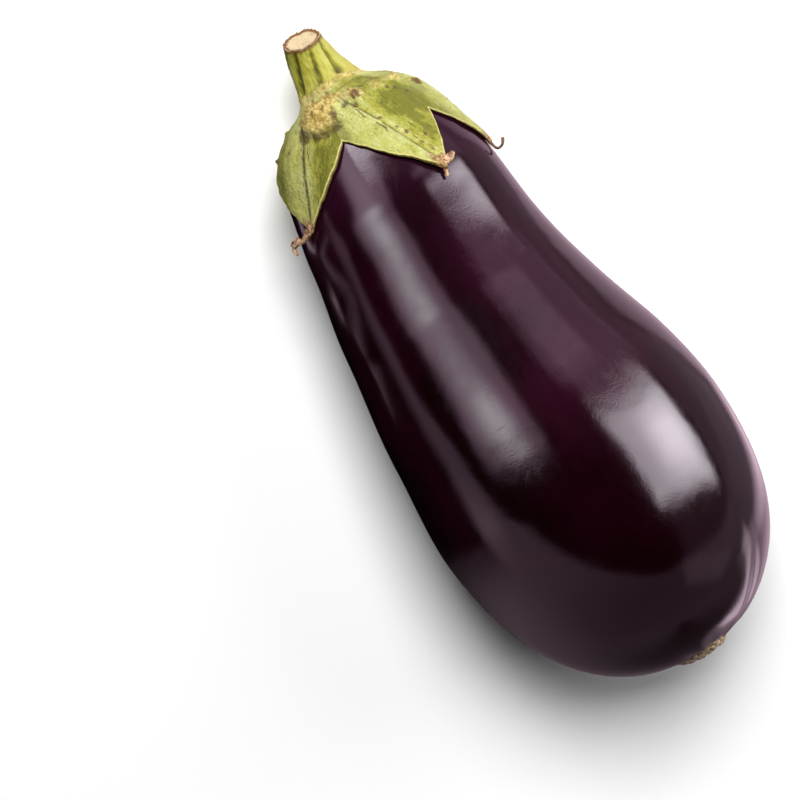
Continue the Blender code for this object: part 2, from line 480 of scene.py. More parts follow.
class Shader(NodeTree):
    """Builds one material on a Principled BSDF."""

    def __init__(self, name: str, place: RestingPlace) -> None:
        """Starts a material whose patterns lie in the fruit's frame, in millimetres.

        Args:
            name: The material's name.
            place: Where the fruit lies.
        """
        self.material = bpy.data.materials.new(name)
        self.material.use_nodes = True
        super().__init__(self.material.node_tree)
        located, turned, _ = place.matrix.decompose()
        coordinates = self.value("ShaderNodeTexCoord", out="Object")
        frame = {1: tuple(located), 2: tuple(turned.to_euler()), 3: (MM, MM, MM)}
        self.place = self.value("ShaderNodeMapping", {"vector_type": "TEXTURE"}, {0: coordinates, **frame})

    def axis(self, name: str) -> Value:
        """One coordinate of the place: X, Y or Z."""
        return self.value("ShaderNodeSeparateXYZ", None, {0: self.place}, out=name)

    def along_fruit(self, squeeze: float) -> Value:
        """The place with X multiplied, for patterns that run along the fruit."""
        sockets = {0: self.place, 1: (squeeze, 1.0, 1.0)}
        return self.value("ShaderNodeVectorMath", {"operation": "MULTIPLY"}, sockets)

    def noise(
        self, size: float, detail: float = 3.0, twist: float = 0.0, place: Value | None = None
    ) -> Value:
        """Cloudy noise from 0 to 1.

        Args:
            size: How wide one cloud is, in millimetres.
            detail: How many finer layers it has.
            twist: How far it is distorted.
            place: Where it is read, or None for the plain place.

        Returns:
            The noise.
        """
        sockets = {"Vector": place or self.place, "Scale": 1.0 / size, "Detail": detail, "Distortion": twist}
        return self.value("ShaderNodeTexNoise", None, sockets)

    def cells(self, size: float, feature: str = "F1", place: Value | None = None) -> Value:
        """The distance to the nearest cell's centre, or to the cells' edges with DISTANCE_TO_EDGE."""
        sockets = {"Vector": place or self.place, "Scale": 1.0 / size}
        return self.value("ShaderNodeTexVoronoi", {"feature": feature}, sockets, out="Distance")

    def mark(self, mark: Mark) -> Value:
        """A number kept on the mesh."""
        return self.value("ShaderNodeAttribute", {"attribute_name": mark.value}, out="Fac")

    def ramp(self, along: Value, stops: list[tuple[float, Colour]]) -> Value:
        """A colour picked from a ramp."""
        return self.value("ShaderNodeValToRGB", {"stops": stops}, {0: along})

    def layered(self, colour: Value | Colour, *layers: tuple[Value, Value | Colour]) -> Value:
        """Lays colours over a colour.

        Args:
            colour: The lowest colour.
            layers: How much of each layer shows, from 0 to 1, and its colour.

        Returns:
            The colour on top.
        """
        settings = {"data_type": "RGBA", "clamp_factor": True}
        for share, over in layers:
            ends = [end if isinstance(end, Value) else (*end, 1.0) for end in (colour, over)]
            colour = self.value("ShaderNodeMix", settings, {0: share, 6: ends[0], 7: ends[1]}, out=2)
        return colour

    def finish(
        self, colour: Input, roughness: Value | float, *bumps: tuple[Value, float], **sockets: Input
    ) -> bpy.types.Material:
        """Adds the Principled BSDF.

        Args:
            colour: Its base colour.
            roughness: Its roughness.
            bumps: Heights from 0 to 1, each with what 1 stands for, in millimetres.
            sockets: Its other inputs, with _ for the spaces in their names.

        Returns:
            The material.
        """
        inputs = {name.replace("_", " "): given for name, given in sockets.items()}
        normal = {}
        for height, depth in bumps:
            sizes = {"Strength": 1.0, "Distance": depth * MM, "Height": height}
            normal = {"Normal": self.value("ShaderNodeBump", None, sizes | normal)}
        inputs |= {"Base Color": colour, "Roughness": roughness} | normal
        surface = self.value("ShaderNodeBsdfPrincipled", None, inputs)
        self.add("ShaderNodeOutputMaterial", None, {"Surface": surface})
        return self.material


class GeometryTree(NodeTree):
    """A geometry group with named inputs for its sizes."""

    def __init__(self, name: str, sizes: dict[str, float]) -> None:
        """Starts a group.

        Args:
            name: The group's name.
            sizes: What its inputs are set to, by name.
        """
        self.group = bpy.data.node_groups.new(name, "GeometryNodeTree")
        self.sizes = sizes
        super().__init__(self.group)
        for way in ("INPUT", "OUTPUT"):
            self.group.interface.new_socket("Geometry", in_out=way, socket_type="NodeSocketGeometry")
        for size in sizes:
            self.group.interface.new_socket(size, in_out="INPUT", socket_type="NodeSocketFloat")
        self.given = self.add("NodeGroupInput")
        self.base = Value(self, self.given.outputs[0])

    def size(self, name: str) -> Value:
        """One of the group's inputs."""
        return Value(self, self.given.outputs[name])

    def mark(self, mark: Mark) -> Value:
        """A number kept on the mesh."""
        return self.value("GeometryNodeInputNamedAttribute", {"data_type": "FLOAT"}, {0: mark.value})

    def chance(self, low: float, high: float, seed: int) -> Value:
        """A random number for each point, from low to high."""
        return self.value("FunctionNodeRandomValue", {"data_type": "FLOAT"}, {2: low, 3: high, 8: seed}, 1)

    def vector(self, x: Value | float, y: Value | float, z: Value | float) -> Value:
        """A vector from its three numbers."""
        return self.value("ShaderNodeCombineXYZ", None, {0: x, 1: y, 2: z})

    def close(self, geometry: Value, material: bpy.types.Material) -> None:
        """Ends the group with one whole, smooth and dressed mesh.

        Args:
            geometry: The group's result.
            material: Its finish.
        """
        smooth = self.value("GeometryNodeSetShadeSmooth", None, {0: geometry})
        whole = self.value("GeometryNodeRealizeInstances", None, {0: smooth})
        dressed = self.value("GeometryNodeSetMaterial", None, {0: whole, 2: material})
        self.add("NodeGroupOutput", None, {0: dressed})

    def grow(self, base: bpy.types.Mesh) -> bpy.types.Mesh:
        """Runs the group on a mesh.

        Args:
            base: What it grows on.

        Returns:
            The plain mesh that results.
        """
        holder = bpy.data.objects.new(base.name, base)
        bpy.context.scene.collection.objects.link(holder)
        modifier = holder.modifiers.new(self.group.name, "NODES")
        modifier.node_group = self.group
        for item in self.group.interface.items_tree:
            if item.in_out == "INPUT" and item.name in self.sizes:
                modifier[item.identifier] = self.sizes[item.name]
        depsgraph = bpy.context.evaluated_depsgraph_get()
        grown = bpy.data.meshes.new_from_object(holder.evaluated_get(depsgraph))
        bpy.data.objects.remove(holder)
        return grown


class WitheredPath(GeometryTree):
    """Turns a line of points into a dried, crumpled strand with closed ends."""

    steps = 40
    sides = 12
    fold_size = 0.9

    def __init__(self, name: str, crumple: float, material: bpy.types.Material) -> None:
        """Builds the group. Its line's width marks and the crumple are in millimetres.

        Args:
            name: The group's name.
            crumple: How deep its folds are.
            material: Its finish.
        """
        super().__init__(name, {"Width": MM, "Crumple": crumple * MM})
        line = self.value("GeometryNodeMeshToCurve", None, {0: self.base})
        curved = self.value("GeometryNodeCurveSplineType", {"spline_type": "CATMULL_ROM"}, {0: line})
        fine = self.value("GeometryNodeResampleCurve", {"mode": "COUNT"}, {0: curved, 2: self.steps})
        ring = self.value("GeometryNodeCurvePrimitiveCircle", {"mode": "RADIUS"}, {0: self.sides, 4: 0.5})
        width_here = self.mark(Mark.WIDTH) * self.size("Width")
        tube = self.value("GeometryNodeCurveToMesh", None, {0: fine, 1: ring, 2: width_here, 3: True})
        size = {"Scale": 1.0 / (self.fold_size * MM), "Detail": 2.0}
        depth = (self.value("ShaderNodeTexNoise", None, size) - 0.5) * self.size("Crumple")
        normal = self.value("GeometryNodeInputNormal")
        push = self.value("ShaderNodeVectorMath", {"operation": "SCALE"}, {0: normal, 3: depth})
        self.close(self.value("GeometryNodeSetPosition", None, {0: tube, 3: push}), material)


class Growth(GeometryTree):
    """Covers a mesh with small pointed growths, thickest where its growth mark is high."""

    cone = {"Vertices": 5, "Side Segments": 2, "Radius Top": 0.06, "Radius Bottom": 0.5, "Depth": 1.0}
    smallest = 0.5
    biggest = 1.3

    def __init__(self, name: str, sizes: dict[str, float], material: bpy.types.Material, seed: int) -> None:
        """Builds the group.

        Args:
            name: The group's name.
            sizes: Its Density in growths on a square metre, their Length and Width in metres, and
                their Lean in radians.
            material: Their finish.
            seed: Any whole number.
        """
        super().__init__(name, sizes)
        density = self.mark(Mark.GROWTH).math("MAXIMUM", 0.0) * self.size("Density")
        sockets = {0: self.base, 4: density, 6: seed}
        spread = self.add("GeometryNodeDistributePointsOnFaces", {"distribute_method": "RANDOM"}, sockets)
        leans = [self.chance(-1.0, 1.0, seed + step) * self.size("Lean") for step in (1, 2)]
        euler = self.value("FunctionNodeEulerToRotation", None, {0: self.vector(*leans, 0.0)})
        stance = {0: Value(self, spread.outputs["Rotation"]), 1: euler}
        rotation = self.value("FunctionNodeRotateRotation", {"rotation_space": "LOCAL"}, stance)
        cone = self.value("GeometryNodeMeshCone", None, self.cone)
        big = self.chance(self.smallest, self.biggest, seed + 3)
        width = self.size("Width") * big
        scale = self.vector(width, width, self.size("Length") * big)
        sockets = {0: Value(self, spread.outputs["Points"]), 2: cone, 5: rotation, 6: scale}
        self.close(self.value("GeometryNodeInstanceOnPoints", None, sockets), material)


# --- Finishes ----------------------------------------------------------------


LEAF_SPECULAR = 0.22


@dataclass(frozen=True)
class WaxySkin:
    """The fruit's skin: near-black purple under clear wax, redder in clouds, with faint whorls."""

    deep: Colour = (0.0030, 0.0002, 0.0006)
    wine: Colour = (0.0120, 0.0006, 0.0040)
    blush: Colour = (0.026, 0.004, 0.014)
    sheen: Colour = (1.0, 0.89, 1.0)
    gloss: float = 0.12

    def build(self, place: RestingPlace) -> bpy.types.Material:
        """Makes the material.

        Args:
            place: Where the fruit lies.

        Returns:
            The material.
        """
        shader = Shader("waxy_skin", place)
        across, along = shader.axis("Y"), shader.axis("X")
        clouds = shader.noise(30.0, 2.0)
        streaks = shader.noise(5.0, 4.0, place=shader.along_fruit(0.12))
        tint = (clouds * 0.75 + streaks * 0.25).step(0.36, 0.66) * (along.step(150.0, 105.0) * 0.7 + 0.3)
        flecks = shader.cells(3.2).step(0.09, 0.05) * shader.noise(14.0, 2.0).step(0.5, 0.62)
        band = across.hump(15.0, 15.0) * along.step(8.0, 45.0) * along.step(130.0, 90.0)
        flush = (band + along.step(48.0, 26.0)) * (clouds * 0.6 + 0.1)
        colour = shader.layered(
            self.deep, (tint, self.wine), (flecks * 0.35, self.blush), (flush, self.blush)
        )
        waves, grain = shader.noise(11.0, 1.5, 0.3), shader.noise(0.35, 2.0)
        whorls = shader.noise(7.0, 2.0, 2.2)
        ripples = (whorls * 60.0).math("SINE") * 0.5 + 0.5
        scuffs = shader.noise(1.6, 4.0, place=shader.along_fruit(0.4))
        roughness = scuffs * 0.08 + whorls * 0.06 + (self.gloss - 0.07)
        bumps = (waves, 0.10), (ripples * 0.5 + scuffs * 0.5, 0.006), (grain, 0.003)
        return shader.finish(colour, roughness, *bumps, Specular_Tint=(*self.sheen, 1.0))


@dataclass(frozen=True)
class Husk:
    """The calyx: leathery yellow-green with dark veins, thin brown rims, corky knobs and dry tips, with
    painted shade in its creases, crevices and valleys and painted light on one side of each keel.
    """

    green: Colour = (0.320, 0.310, 0.034)
    leaf: Colour = (0.140, 0.142, 0.010)
    pale: Colour = (0.480, 0.490, 0.170)
    vein: Colour = (0.075, 0.065, 0.008)
    edge: Colour = (0.600, 0.540, 0.190)
    rim: Colour = (0.130, 0.100, 0.022)
    umber: Colour = (0.210, 0.120, 0.040)
    amber: Colour = (0.430, 0.290, 0.070)
    straw: Colour = (0.680, 0.570, 0.220)
    shadow: Colour = (0.058, 0.030, 0.007)
    brown: Colour = (0.110, 0.050, 0.020)
    tan: Colour = (0.480, 0.290, 0.120)
    reads: tuple[Mark, ...] = (
        Mark.KEEL, Mark.FOLD, Mark.KNOB, Mark.SPOT, Mark.CREVICE, Mark.RIM, Mark.DRY
    )

    def build(self, place: RestingPlace) -> bpy.types.Material:
        """Makes the material.

        Args:
            place: Where the fruit lies.

        Returns:
            The material.
        """
        shader = Shader("husk", place)
        across, fold, knob, spot, crevice, edge, dry = map(shader.mark, self.reads)
        mottle, fine, patches = shader.noise(3.2, 4.0, 0.4), shader.noise(0.8), shader.noise(10.0, 1.5)
        grained = shader.value("ShaderNodeCombineXYZ", None, {0: across, 1: shader.axis("X") * 0.22})
        streaks = shader.noise(1.3, twist=0.4, place=grained)
        # Painted light and shade: the fold mark makes the tone lighter on fold crests and darker in valleys.
        tone = mottle * 0.30 + patches * 0.30 + fine * 0.20 + streaks * 0.20 + (fold - 0.5) * 0.20
        leafy = [(0.37, self.leaf), (0.46, self.green), (0.60, self.pale)]
        net = shader.cells(1.3, "DISTANCE_TO_EDGE").step(0.14, 0.02)
        lines = (across * 2.1 + shader.noise(7.0, 2.0) * 5.0).math("SINE").step(0.80, 1.0)
        # Painted shade: a broken dark line just beside each lobe's keel, in the shadow colour.
        crease = across.hump(0.5, 0.45) * shader.noise(3.0).step(0.36, 0.50)
        crust = shader.noise(1.1, 4.0, 0.3)
        corky = [(0.36, self.umber), (0.47, self.amber), (0.62, self.straw)]
        specks = shader.cells(1.7).step(0.20, 0.10) * shader.noise(5.0, 2.0).step(0.52, 0.62)
        # Painted shade: crevices, knob bases and keel grooves darkened with the shadow colour.
        dark = (crevice + (mottle + fine - 1.0) * 1.1).step(0.20, 1.05)
        colour = shader.layered(
            shader.ramp(tone + knob * 0.16, leafy),
            (net * 0.16, self.leaf),
            (lines * shader.noise(2.4).step(0.52, 0.62) * 0.8, self.vein),
            # Painted shade along the keel crease.
            (crease * 0.8, self.shadow),
            # Painted shade: darker green where the fold sinks into valleys.
            ((0.4 - fold).step(-0.1, 1.2) * 0.7, self.leaf),
            # Painted light: a pale band on one side of each keel.
            (across.step(-0.6, -3.5) * across.step(-12.0, -6.0) * 0.38, self.pale),
            # Painted shade: a darker band on the other side of each keel.
            (across.step(0.8, 4.5) * across.step(12.0, 6.0) * 0.16, self.leaf),
            (
                (knob + (mottle - 0.5) * 0.8).step(0.30, 0.85) * 0.85,
                shader.ramp(crust * 0.6 + mottle * 0.4, corky),
            ),
            (specks * 0.7, self.brown),
            ((spot + (shader.noise(0.9) - 0.5) * 1.5).step(0.40, 0.72) * 0.9, self.brown),
            # Painted shade in the crevices.
            (dark * 0.85, self.shadow),
            (edge.step(0.30, 0.80) * 0.8, self.edge),
            ((edge + (fine - 0.5) * 0.8).step(1.05, 1.35), self.rim),
            (
                (dry + (mottle - 0.5) * 0.7).step(0.30, 0.60),
                shader.ramp(fine, [(0.35, self.brown), (0.6, self.tan)]),
            ),
        )
        bumps = (mottle * 0.6 + fine * 0.4, 0.45), (crust * knob + net * -0.2, 0.40)
        return shader.finish(colour, fine * 0.2 + 0.45, *bumps, Specular_IOR_Level=LEAF_SPECULAR)


@dataclass(frozen=True)
class Bark:
    """The stem's skin: yellow-green with furrows darkened by painted shade, a +Y side lightened by painted
    light, corky at the calyx and brown at the cut.
    """

    ridge: Colour = (0.300, 0.285, 0.030)
    pale: Colour = (0.440, 0.410, 0.085)
    shaded: Colour = (0.140, 0.132, 0.012)
    furrow: Colour = (0.055, 0.048, 0.006)
    amber: Colour = (0.430, 0.350, 0.070)
    brown: Colour = (0.130, 0.055, 0.020)
    cut_from: float = 13.5

    def build(self, place: RestingPlace) -> bpy.types.Material:
        """Makes the material.

        Args:
            place: Where the fruit lies.

        Returns:
            The material.
        """
        shader = Shader("bark", place)
        along = shader.mark(Mark.ALONG)
        fibres = shader.noise(0.7, 4.0, place=shader.along_fruit(0.16))
        mottle, crust = shader.noise(2.2, 4.0), shader.noise(1.2, 4.0)
        # Painted light: the stem's +Y side is made lighter.
        bright = shader.axis("Y").step(1.0, 9.0) * 0.24
        # Painted shade and light: the ridge mark darkens the furrows and pales the crests.
        tone = shader.mark(Mark.RIDGE) * 0.62 + (fibres - 0.5) * 0.8 + (mottle - 0.5) * 0.5 + bright
        stops = [(0.06, self.furrow), (0.30, self.shaded), (0.56, self.ridge), (0.86, self.pale)]
        stain = along + (fibres - 0.5) * 2.0
        colour = shader.layered(
            shader.ramp(tone, stops),
            ((along + (crust - 0.5) * 5.0).step(3.0, -1.0) * 0.7, self.amber),
            # Painted shade: dark hollows where the furrows run into the collar.
            (shader.mark(Mark.CREVICE) * 0.9, self.furrow),
            (stain.step(self.cut_from - 1.2, self.cut_from - 0.1) * 0.9, self.brown),
        )
        bumps = (fibres, 0.35), (crust, 0.15)
        return shader.finish(colour, mottle * 0.2 + 0.45, *bumps, Specular_IOR_Level=LEAF_SPECULAR)


@dataclass(frozen=True)
class Pith:
    """The stem's cut face: pale pith with fine rays and a brown woody ring."""

    cream: Colour = (0.60, 0.47, 0.28)
    straw: Colour = (0.46, 0.31, 0.15)
    ring: Colour = (0.16, 0.060, 0.015)

    def build(self, place: RestingPlace) -> bpy.types.Material:
        """Makes the material.

        Args:
            place: Where the fruit lies.

        Returns:
            The material.
        """
        shader = Shader("pith", place)
        grain = shader.noise(0.55, 4.0)
        blotches = shader.noise(1.8)
        pale = shader.ramp(grain * 0.5 + blotches * 0.5, [(0.36, self.straw), (0.48, self.cream)])
        rim = (shader.mark(Mark.RIM) + (grain - 0.5) * 0.5).step(0.22, 0.45)
        return shader.finish(shader.layered(pale, (rim, self.ring)), 0.8, (grain, 0.25))


@dataclass(frozen=True)
class Withered:
    """Dried calyx tips and hairs: tan shading into dark brown."""

    tan: Colour = (0.620, 0.390, 0.210)
    brown: Colour = (0.140, 0.055, 0.020)
    amount: float = 0.42

    def build(self, name: str, place: RestingPlace) -> bpy.types.Material:
        """Makes the material.

        Args:
            name: Its name.
            place: Where the fruit lies.

        Returns:
            The material.
        """
        shader = Shader(name, place)
        folds = shader.noise(1.1, 4.0, 0.8)
        colour = shader.ramp(folds, [(self.amount, self.brown), (self.amount + 0.16, self.tan)])
        return shader.finish(colour, 0.6, (folds, 0.3))


@dataclass(frozen=True)
class Cork:
    """The blossom scar: dry brown cork, cracked into plates with pale edges."""

    plate: Colour = (0.44, 0.28, 0.15)
    pale: Colour = (0.72, 0.55, 0.36)
    crack: Colour = (0.110, 0.055, 0.025)

    def build(self, place: RestingPlace) -> bpy.types.Material:
        """Makes the material.

        Args:
            place: Where the fruit lies.

        Returns:
            The material.
        """
        shader = Shader("cork", place)
        grain = shader.noise(0.7, 4.0)
        cracks = shader.cells(1.6, "DISTANCE_TO_EDGE", shader.along_fruit(0.6)).step(0.10, 0.01)
        plates = shader.ramp(grain, [(0.35, self.plate), (0.62, self.pale)])
        colour = shader.layered(plates, (cracks, self.crack))
        return shader.finish(colour, 0.88, (grain * 0.5 + cracks * -0.5, 0.4))


@dataclass(frozen=True)
class TableTop:
    """The table: plain and pale."""

    colour: Colour = (0.88, 0.88, 0.88)

    def build(self, place: RestingPlace) -> bpy.types.Material:
        """Makes the material.

        Args:
            place: Where the fruit lies.

        Returns:
            The material.
        """
        shader = Shader("table_top", place)
        bump = (shader.noise(1.2, 2.0), 0.02)
        return shader.finish((*self.colour, 1.0), 0.75, bump, Specular_IOR_Level=0.2)


Finish = WaxySkin | Husk | Bark | Pith | Cork


@dataclass(frozen=True)
class Part:
    """A part of the eggplant, in its place."""

    place: RestingPlace

    @property
    def shape(self) -> FruitShape:
        """The fruit's bare form."""
        return self.place.shape

    def show(
        self,
        name: str,
        points: np.ndarray,
        marks: dict[Mark, np.ndarray],
        slot: Slot,
        node: Node,
        *finishes: Finish,
    ) -> bpy.types.Object:
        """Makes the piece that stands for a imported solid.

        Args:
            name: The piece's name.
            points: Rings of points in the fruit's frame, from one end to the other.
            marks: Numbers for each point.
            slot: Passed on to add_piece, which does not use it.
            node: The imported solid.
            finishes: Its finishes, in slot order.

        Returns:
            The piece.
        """
        mesh = ring_mesh(name, self.place.put(points), marks)
        return add_piece(name, mesh, [finish.build(self.place) for finish in finishes], slot, node)


# --- The fruit ---------------------------------------------------------------


@dataclass(frozen=True)
class Fruit(Part):
    """The fruit's body: a smooth waxy skin, puckered towards the blossom end and flat where it rests."""

    rows: int = 250
    columns: int = 288
    pucker_depth: float = 0.45
    pucker_reach: float = 16.0
    dimple_depth: float = 1.3
    dimple_reach: float = 10.0
    crease_angle: float = 49.0
    crease_depth: float = 0.55
    crease_width: float = 2.2
    crease_length: float = 17.0
    crease_from_end: float = 26.0
    radius_there: float = 24.0

    def build(self, finish: WaxySkin) -> bpy.types.Object:
        """Makes the piece.

        Args:
            finish: The skin's finish.

        Returns:
            The fruit.
        """
        angle = once_round(self.columns)[None, :]
        length = np.linspace(0.0, self.shape.skin_length, self.rows)[:, None]
        points = self.shape.over_skin(angle, length, self.relief(angle, length))
        return self.show("fruit_skin", points, {}, Slot.SKIN, Node.FRUIT, finish)

    def relief(self, angle: np.ndarray, length: np.ndarray) -> np.ndarray:
        """Works out the puckers, the dimple and the crease near the blossom end.

        Args:
            angle: Radians round the fruit.
            length: Millimetres over the skin from the stem end.

        Returns:
            Millimetres off the bare form.
        """
        from_end = self.shape.skin_length - length
        waves = np.cos(9.0 * angle + 0.7) * 0.6 + np.cos(14.0 * angle + 2.0) * 0.4
        fade = smooth_step(from_end, 0.0, 6.0)
        puckers = self.pucker_depth * waves * hump(from_end, self.pucker_reach) * fade
        dimple = -self.dimple_depth * hump(from_end, self.dimple_reach)
        aside = (angle - math.radians(self.crease_angle)) * self.radius_there
        ahead = from_end - self.crease_from_end
        crease = hump(aside, self.crease_width) * hump(ahead, self.crease_length)
        return puckers + dimple - self.crease_depth * crease


# --- The calyx ---------------------------------------------------------------


@dataclass(frozen=True)
class Lobe:
    """A pointed lobe of the calyx, and the notch before it. Angles are in degrees."""

    notch_angle: float
    notch_length: float
    tip_angle: float
    tip_length: float
    bulge_before: float
    bulge_after: float
    lift: float
    fold: float
    body: float
    skew: float


@dataclass(frozen=True)
class Lump:
    """A knob, wart, crevice or spot on the calyx. The angle is in degrees."""

    angle: float
    length: float
    radius: float
    height: float = 0.0


def lumps(*rows: tuple[float, ...]) -> tuple[Lump, ...]:
    """Lumps from rows of angle, length, radius and, except for spots, height."""
    return tuple(Lump(*row) for row in rows)


@dataclass(frozen=True)
class Calyx(Part):
    """The green husk over the fruit's shoulder: five lobes round a thick corky collar."""

    lobes: tuple[Lobe, ...] = (
        Lobe(-93.0, 26.0, -55.5, 46.8, 1.2, 0.80, 0.6, -1.3, 1.25, 37.0),
        Lobe(-10.0, 31.2, 27.5, 54.0, 1.02, 0.92, 0.6, 1.2, 0.75, -38.0),
        Lobe(48.0, 36.8, 79.0, 53.8, 1.0, 1.1, 0.0, 0.4, 0.55, -8.0),
        Lobe(118.0, 31.0, 155.0, 50.0, 1.0, 0.9, 0.1, 0.6, 0.7, 12.0),
        Lobe(190.0, 30.0, 227.0, 49.0, 1.1, 0.9, 0.2, -0.5, 0.8, -10.0),
    )
    knobs: tuple[Lump, ...] = lumps(
        (-21.0, 20.6, 5.2, 2.6), (-13.0, 22.0, 3.4, 1.3), (-12.0, 17.8, 3.0, 1.0),
        (15.0, 22.2, 2.6, 2.3), (3.0, 18.0, 2.4, 1.4), (18.0, 16.3, 2.2, 0.7),
        (35.0, 22.8, 3.0, 0.9), (54.0, 23.5, 2.6, 1.2), (92.0, 17.0, 3.4, 0.3),
        (150.0, 18.0, 3.0, 1.1), (205.0, 19.0, 3.4, 1.0), (250.0, 16.0, 2.8, 1.1),
    )
    warts: tuple[Lump, ...] = lumps(
        (64.0, 28.3, 1.9, 0.9), (-90.0, 22.6, 1.1, 0.9), (14.5, 19.2, 1.1, 0.4),
        (14.5, 23.2, 1.4, 0.4), (134.0, 33.0, 1.1, 0.8), (212.0, 36.0, 1.0, 0.7),
        (98.0, 39.0, 0.9, 0.5),
    )
    crevices: tuple[Lump, ...] = lumps(
        (-38.5, 22.0, 1.8, -0.9), (-32.0, 24.4, 1.6, -0.8), (-25.0, 26.2, 1.6, -0.9),
        (-17.5, 27.0, 1.7, -0.8), (-8.0, 26.8, 2.0, -1.1), (-6.0, 23.4, 1.3, -0.8),
        (4.0, 23.0, 1.2, -0.8), (10.0, 25.0, 1.0, -0.6), (27.0, 19.0, 1.0, -0.5),
        (38.0, 25.2, 0.8, -0.4), (122.0, 22.0, 1.6, -0.6), (178.0, 21.0, 1.4, -0.6),
        (232.0, 20.0, 1.5, -0.6),
    )
    spots: tuple[Lump, ...] = lumps(
        (-53.7, 24.3, 0.8), (42.6, 26.6, 0.9), (48.2, 29.0, 0.7), (15.2, 32.7, 0.8),
        (20.0, 37.5, 0.8), (22.2, 39.9, 0.9), (31.0, 43.3, 0.7), (24.9, 45.0, 0.9),
        (28.0, 48.0, 0.7), (160.0, 34.0, 1.0), (222.0, 41.0, 0.9),
    )
    side_columns: int = 34
    rows: int = 84
    inner_rows: int = 16
    crowding: float = 1.25
    gap: float = 0.2
    thickness: float = 0.85
    rim_thickness: float = 0.75
    ragged_size: float = 3.5
    ragged_height: float = 0.45
    rim_lift: float = 0.30
    valley_depth: float = 0.8
    valley_width: float = 1.5
    valley_length: float = 15.0
    collar_height: float = 3.0
    collar_reach: float = 2.9
    stem_across: float = 4.5
    stem_up: float = 0.4
    stem_radius: float = 8.2
    rim_mark: float = 1.6
    rim_steps: tuple[tuple[float, float], ...] = ((0.40, 0.3), (0.55, 0.65), (0.30, 0.9))
    down_density: float = 1.6e6

    def build(self, finish: Husk) -> bpy.types.Object:
        """Makes the piece.

        Args:
            finish: The husk's finish.

        Returns:
            The calyx.
        """
        angle, edge, towards_tip, from_keel_angle = self.edge()
        share = 1.0 - (1.0 - np.linspace(0.0, 1.0, self.rows)[:, None]) ** self.crowding
        length = share * edge[None, :]
        bare = self.shape.over_skin(angle[None, :], length)
        inner = self.gap + self.lift(share, towards_tip)
        left = 1.0 - length / self.of_lobes("tip_length", False)
        from_keel_angle = from_keel_angle - np.radians(self.of_lobes("skew", False)) * left
        marks = self.marks(bare, share, towards_tip, from_keel_angle)
        outer = inner + self.wall(bare, length, marks)
        under_share = np.linspace(1.0, 0.0, self.inner_rows)[:, None]
        under_lift = self.gap + self.lift(under_share, towards_tip)
        overhang, blend = np.array(self.rim_steps).T[..., None]
        rim = edge[None, :] + overhang
        rim_lift = outer[-1:] * (1.0 - blend) + under_lift[:1] * blend
        lengths = np.concatenate([length, rim, under_share * edge[None, :]])
        lifts = np.concatenate([outer, rim_lift, under_lift])
        points = self.shape.over_skin(angle[None, :], lengths, lifts)
        extra = len(lengths) - len(length)
        for mark, values in marks.items():
            marks[mark] = np.concatenate([values, np.repeat(values[-1:], extra, axis=0)])
        marks[Mark.RIM][len(length) :] = self.rim_mark
        return self.show("calyx_husk", points, marks, Slot.HUSK, Node.CALYX, finish)

    def add_down(self, husk: bpy.types.Object, finish: Withered) -> bpy.types.Object:
        """Grows short stiff hairs on the husk's corky places.

        Args:
            husk: The calyx.
            finish: The hairs' finish.

        Returns:
            The hairs.
        """
        sizes = {"Density": self.down_density, "Length": 0.7 * MM, "Width": 0.2 * MM, "Lean": 1.0}
        tree = Growth("down", sizes, finish.build("down", self.place), 5)
        return add_piece("calyx_down", tree.grow(husk.data.copy()), [], Slot.HUSK)

    def edge(self) -> tuple[np.ndarray, np.ndarray, np.ndarray, np.ndarray]:
        """Walks once round the calyx's edge.

        Returns:
            For each mesh column its angle, the edge's length over the skin, how near it is to a tip
            (0 at a notch and 1 at a tip), and its angle from the middle of its lobe, in radians.
        """
        angles, lengths, nearness, asides = [], [], [], []
        rising = np.arange(self.side_columns) / self.side_columns
        for lobe, following in zip(self.lobes, self.lobes[1:] + self.lobes[:1]):
            turns = ROUND if following.notch_angle < lobe.tip_angle else 0.0
            sides = (
                (lobe.notch_angle, lobe.notch_length, lobe.bulge_before, rising),
                (following.notch_angle + turns, following.notch_length, lobe.bulge_after, 1.0 - rising),
            )
            for notch_angle, notch_length, bulge, near in sides:
                angles.append(notch_angle + (lobe.tip_angle - notch_angle) * near)
                lengths.append(notch_length + (lobe.tip_length - notch_length) * near**bulge)
                nearness.append(near)
                asides.append(angles[-1] - lobe.tip_angle)
        angle = np.radians(np.concatenate(angles))
        length = np.concatenate(lengths)
        ragged = turbulence(self.shape.over_skin(angle, length), self.ragged_size, 8, 2)
        length = length + self.ragged_height * ragged
        return angle, length, np.concatenate(nearness), np.radians(np.concatenate(asides))

    def lift(self, share: np.ndarray, towards_tip: np.ndarray) -> np.ndarray:
        """How far the husk's inner face stands off the skin, beyond the gap.

        Args:
            share: How far out each ring lies, from 0 to 1.
            towards_tip: How near each column is to a tip.

        Returns:
            Millimetres for each point.
        """
        tips = np.repeat([lobe.lift for lobe in self.lobes], 2 * self.side_columns)
        rims = self.rim_lift * smooth_step(share, 0.85, 1.0)
        return tips * towards_tip * smooth_step(share, 0.35, 1.1) + rims

    def of_lobes(self, name: str, eased: bool = True) -> np.ndarray:
        """A size of each column's lobe.

        Args:
            name: The size's name.
            eased: Whether it goes over smoothly from lobe to lobe.

        Returns:
            A number for each column.
        """
        sizes = np.repeat([getattr(lobe, name) for lobe in self.lobes], 2 * self.side_columns)
        if not eased:
            return sizes
        window = np.hanning(self.side_columns // 2 * 2 + 1)
        wrapped = np.concatenate([sizes[-self.side_columns :], sizes, sizes[: self.side_columns]])
        smooth = np.convolve(wrapped, window / window.sum(), "same")
        return smooth[self.side_columns : -self.side_columns]

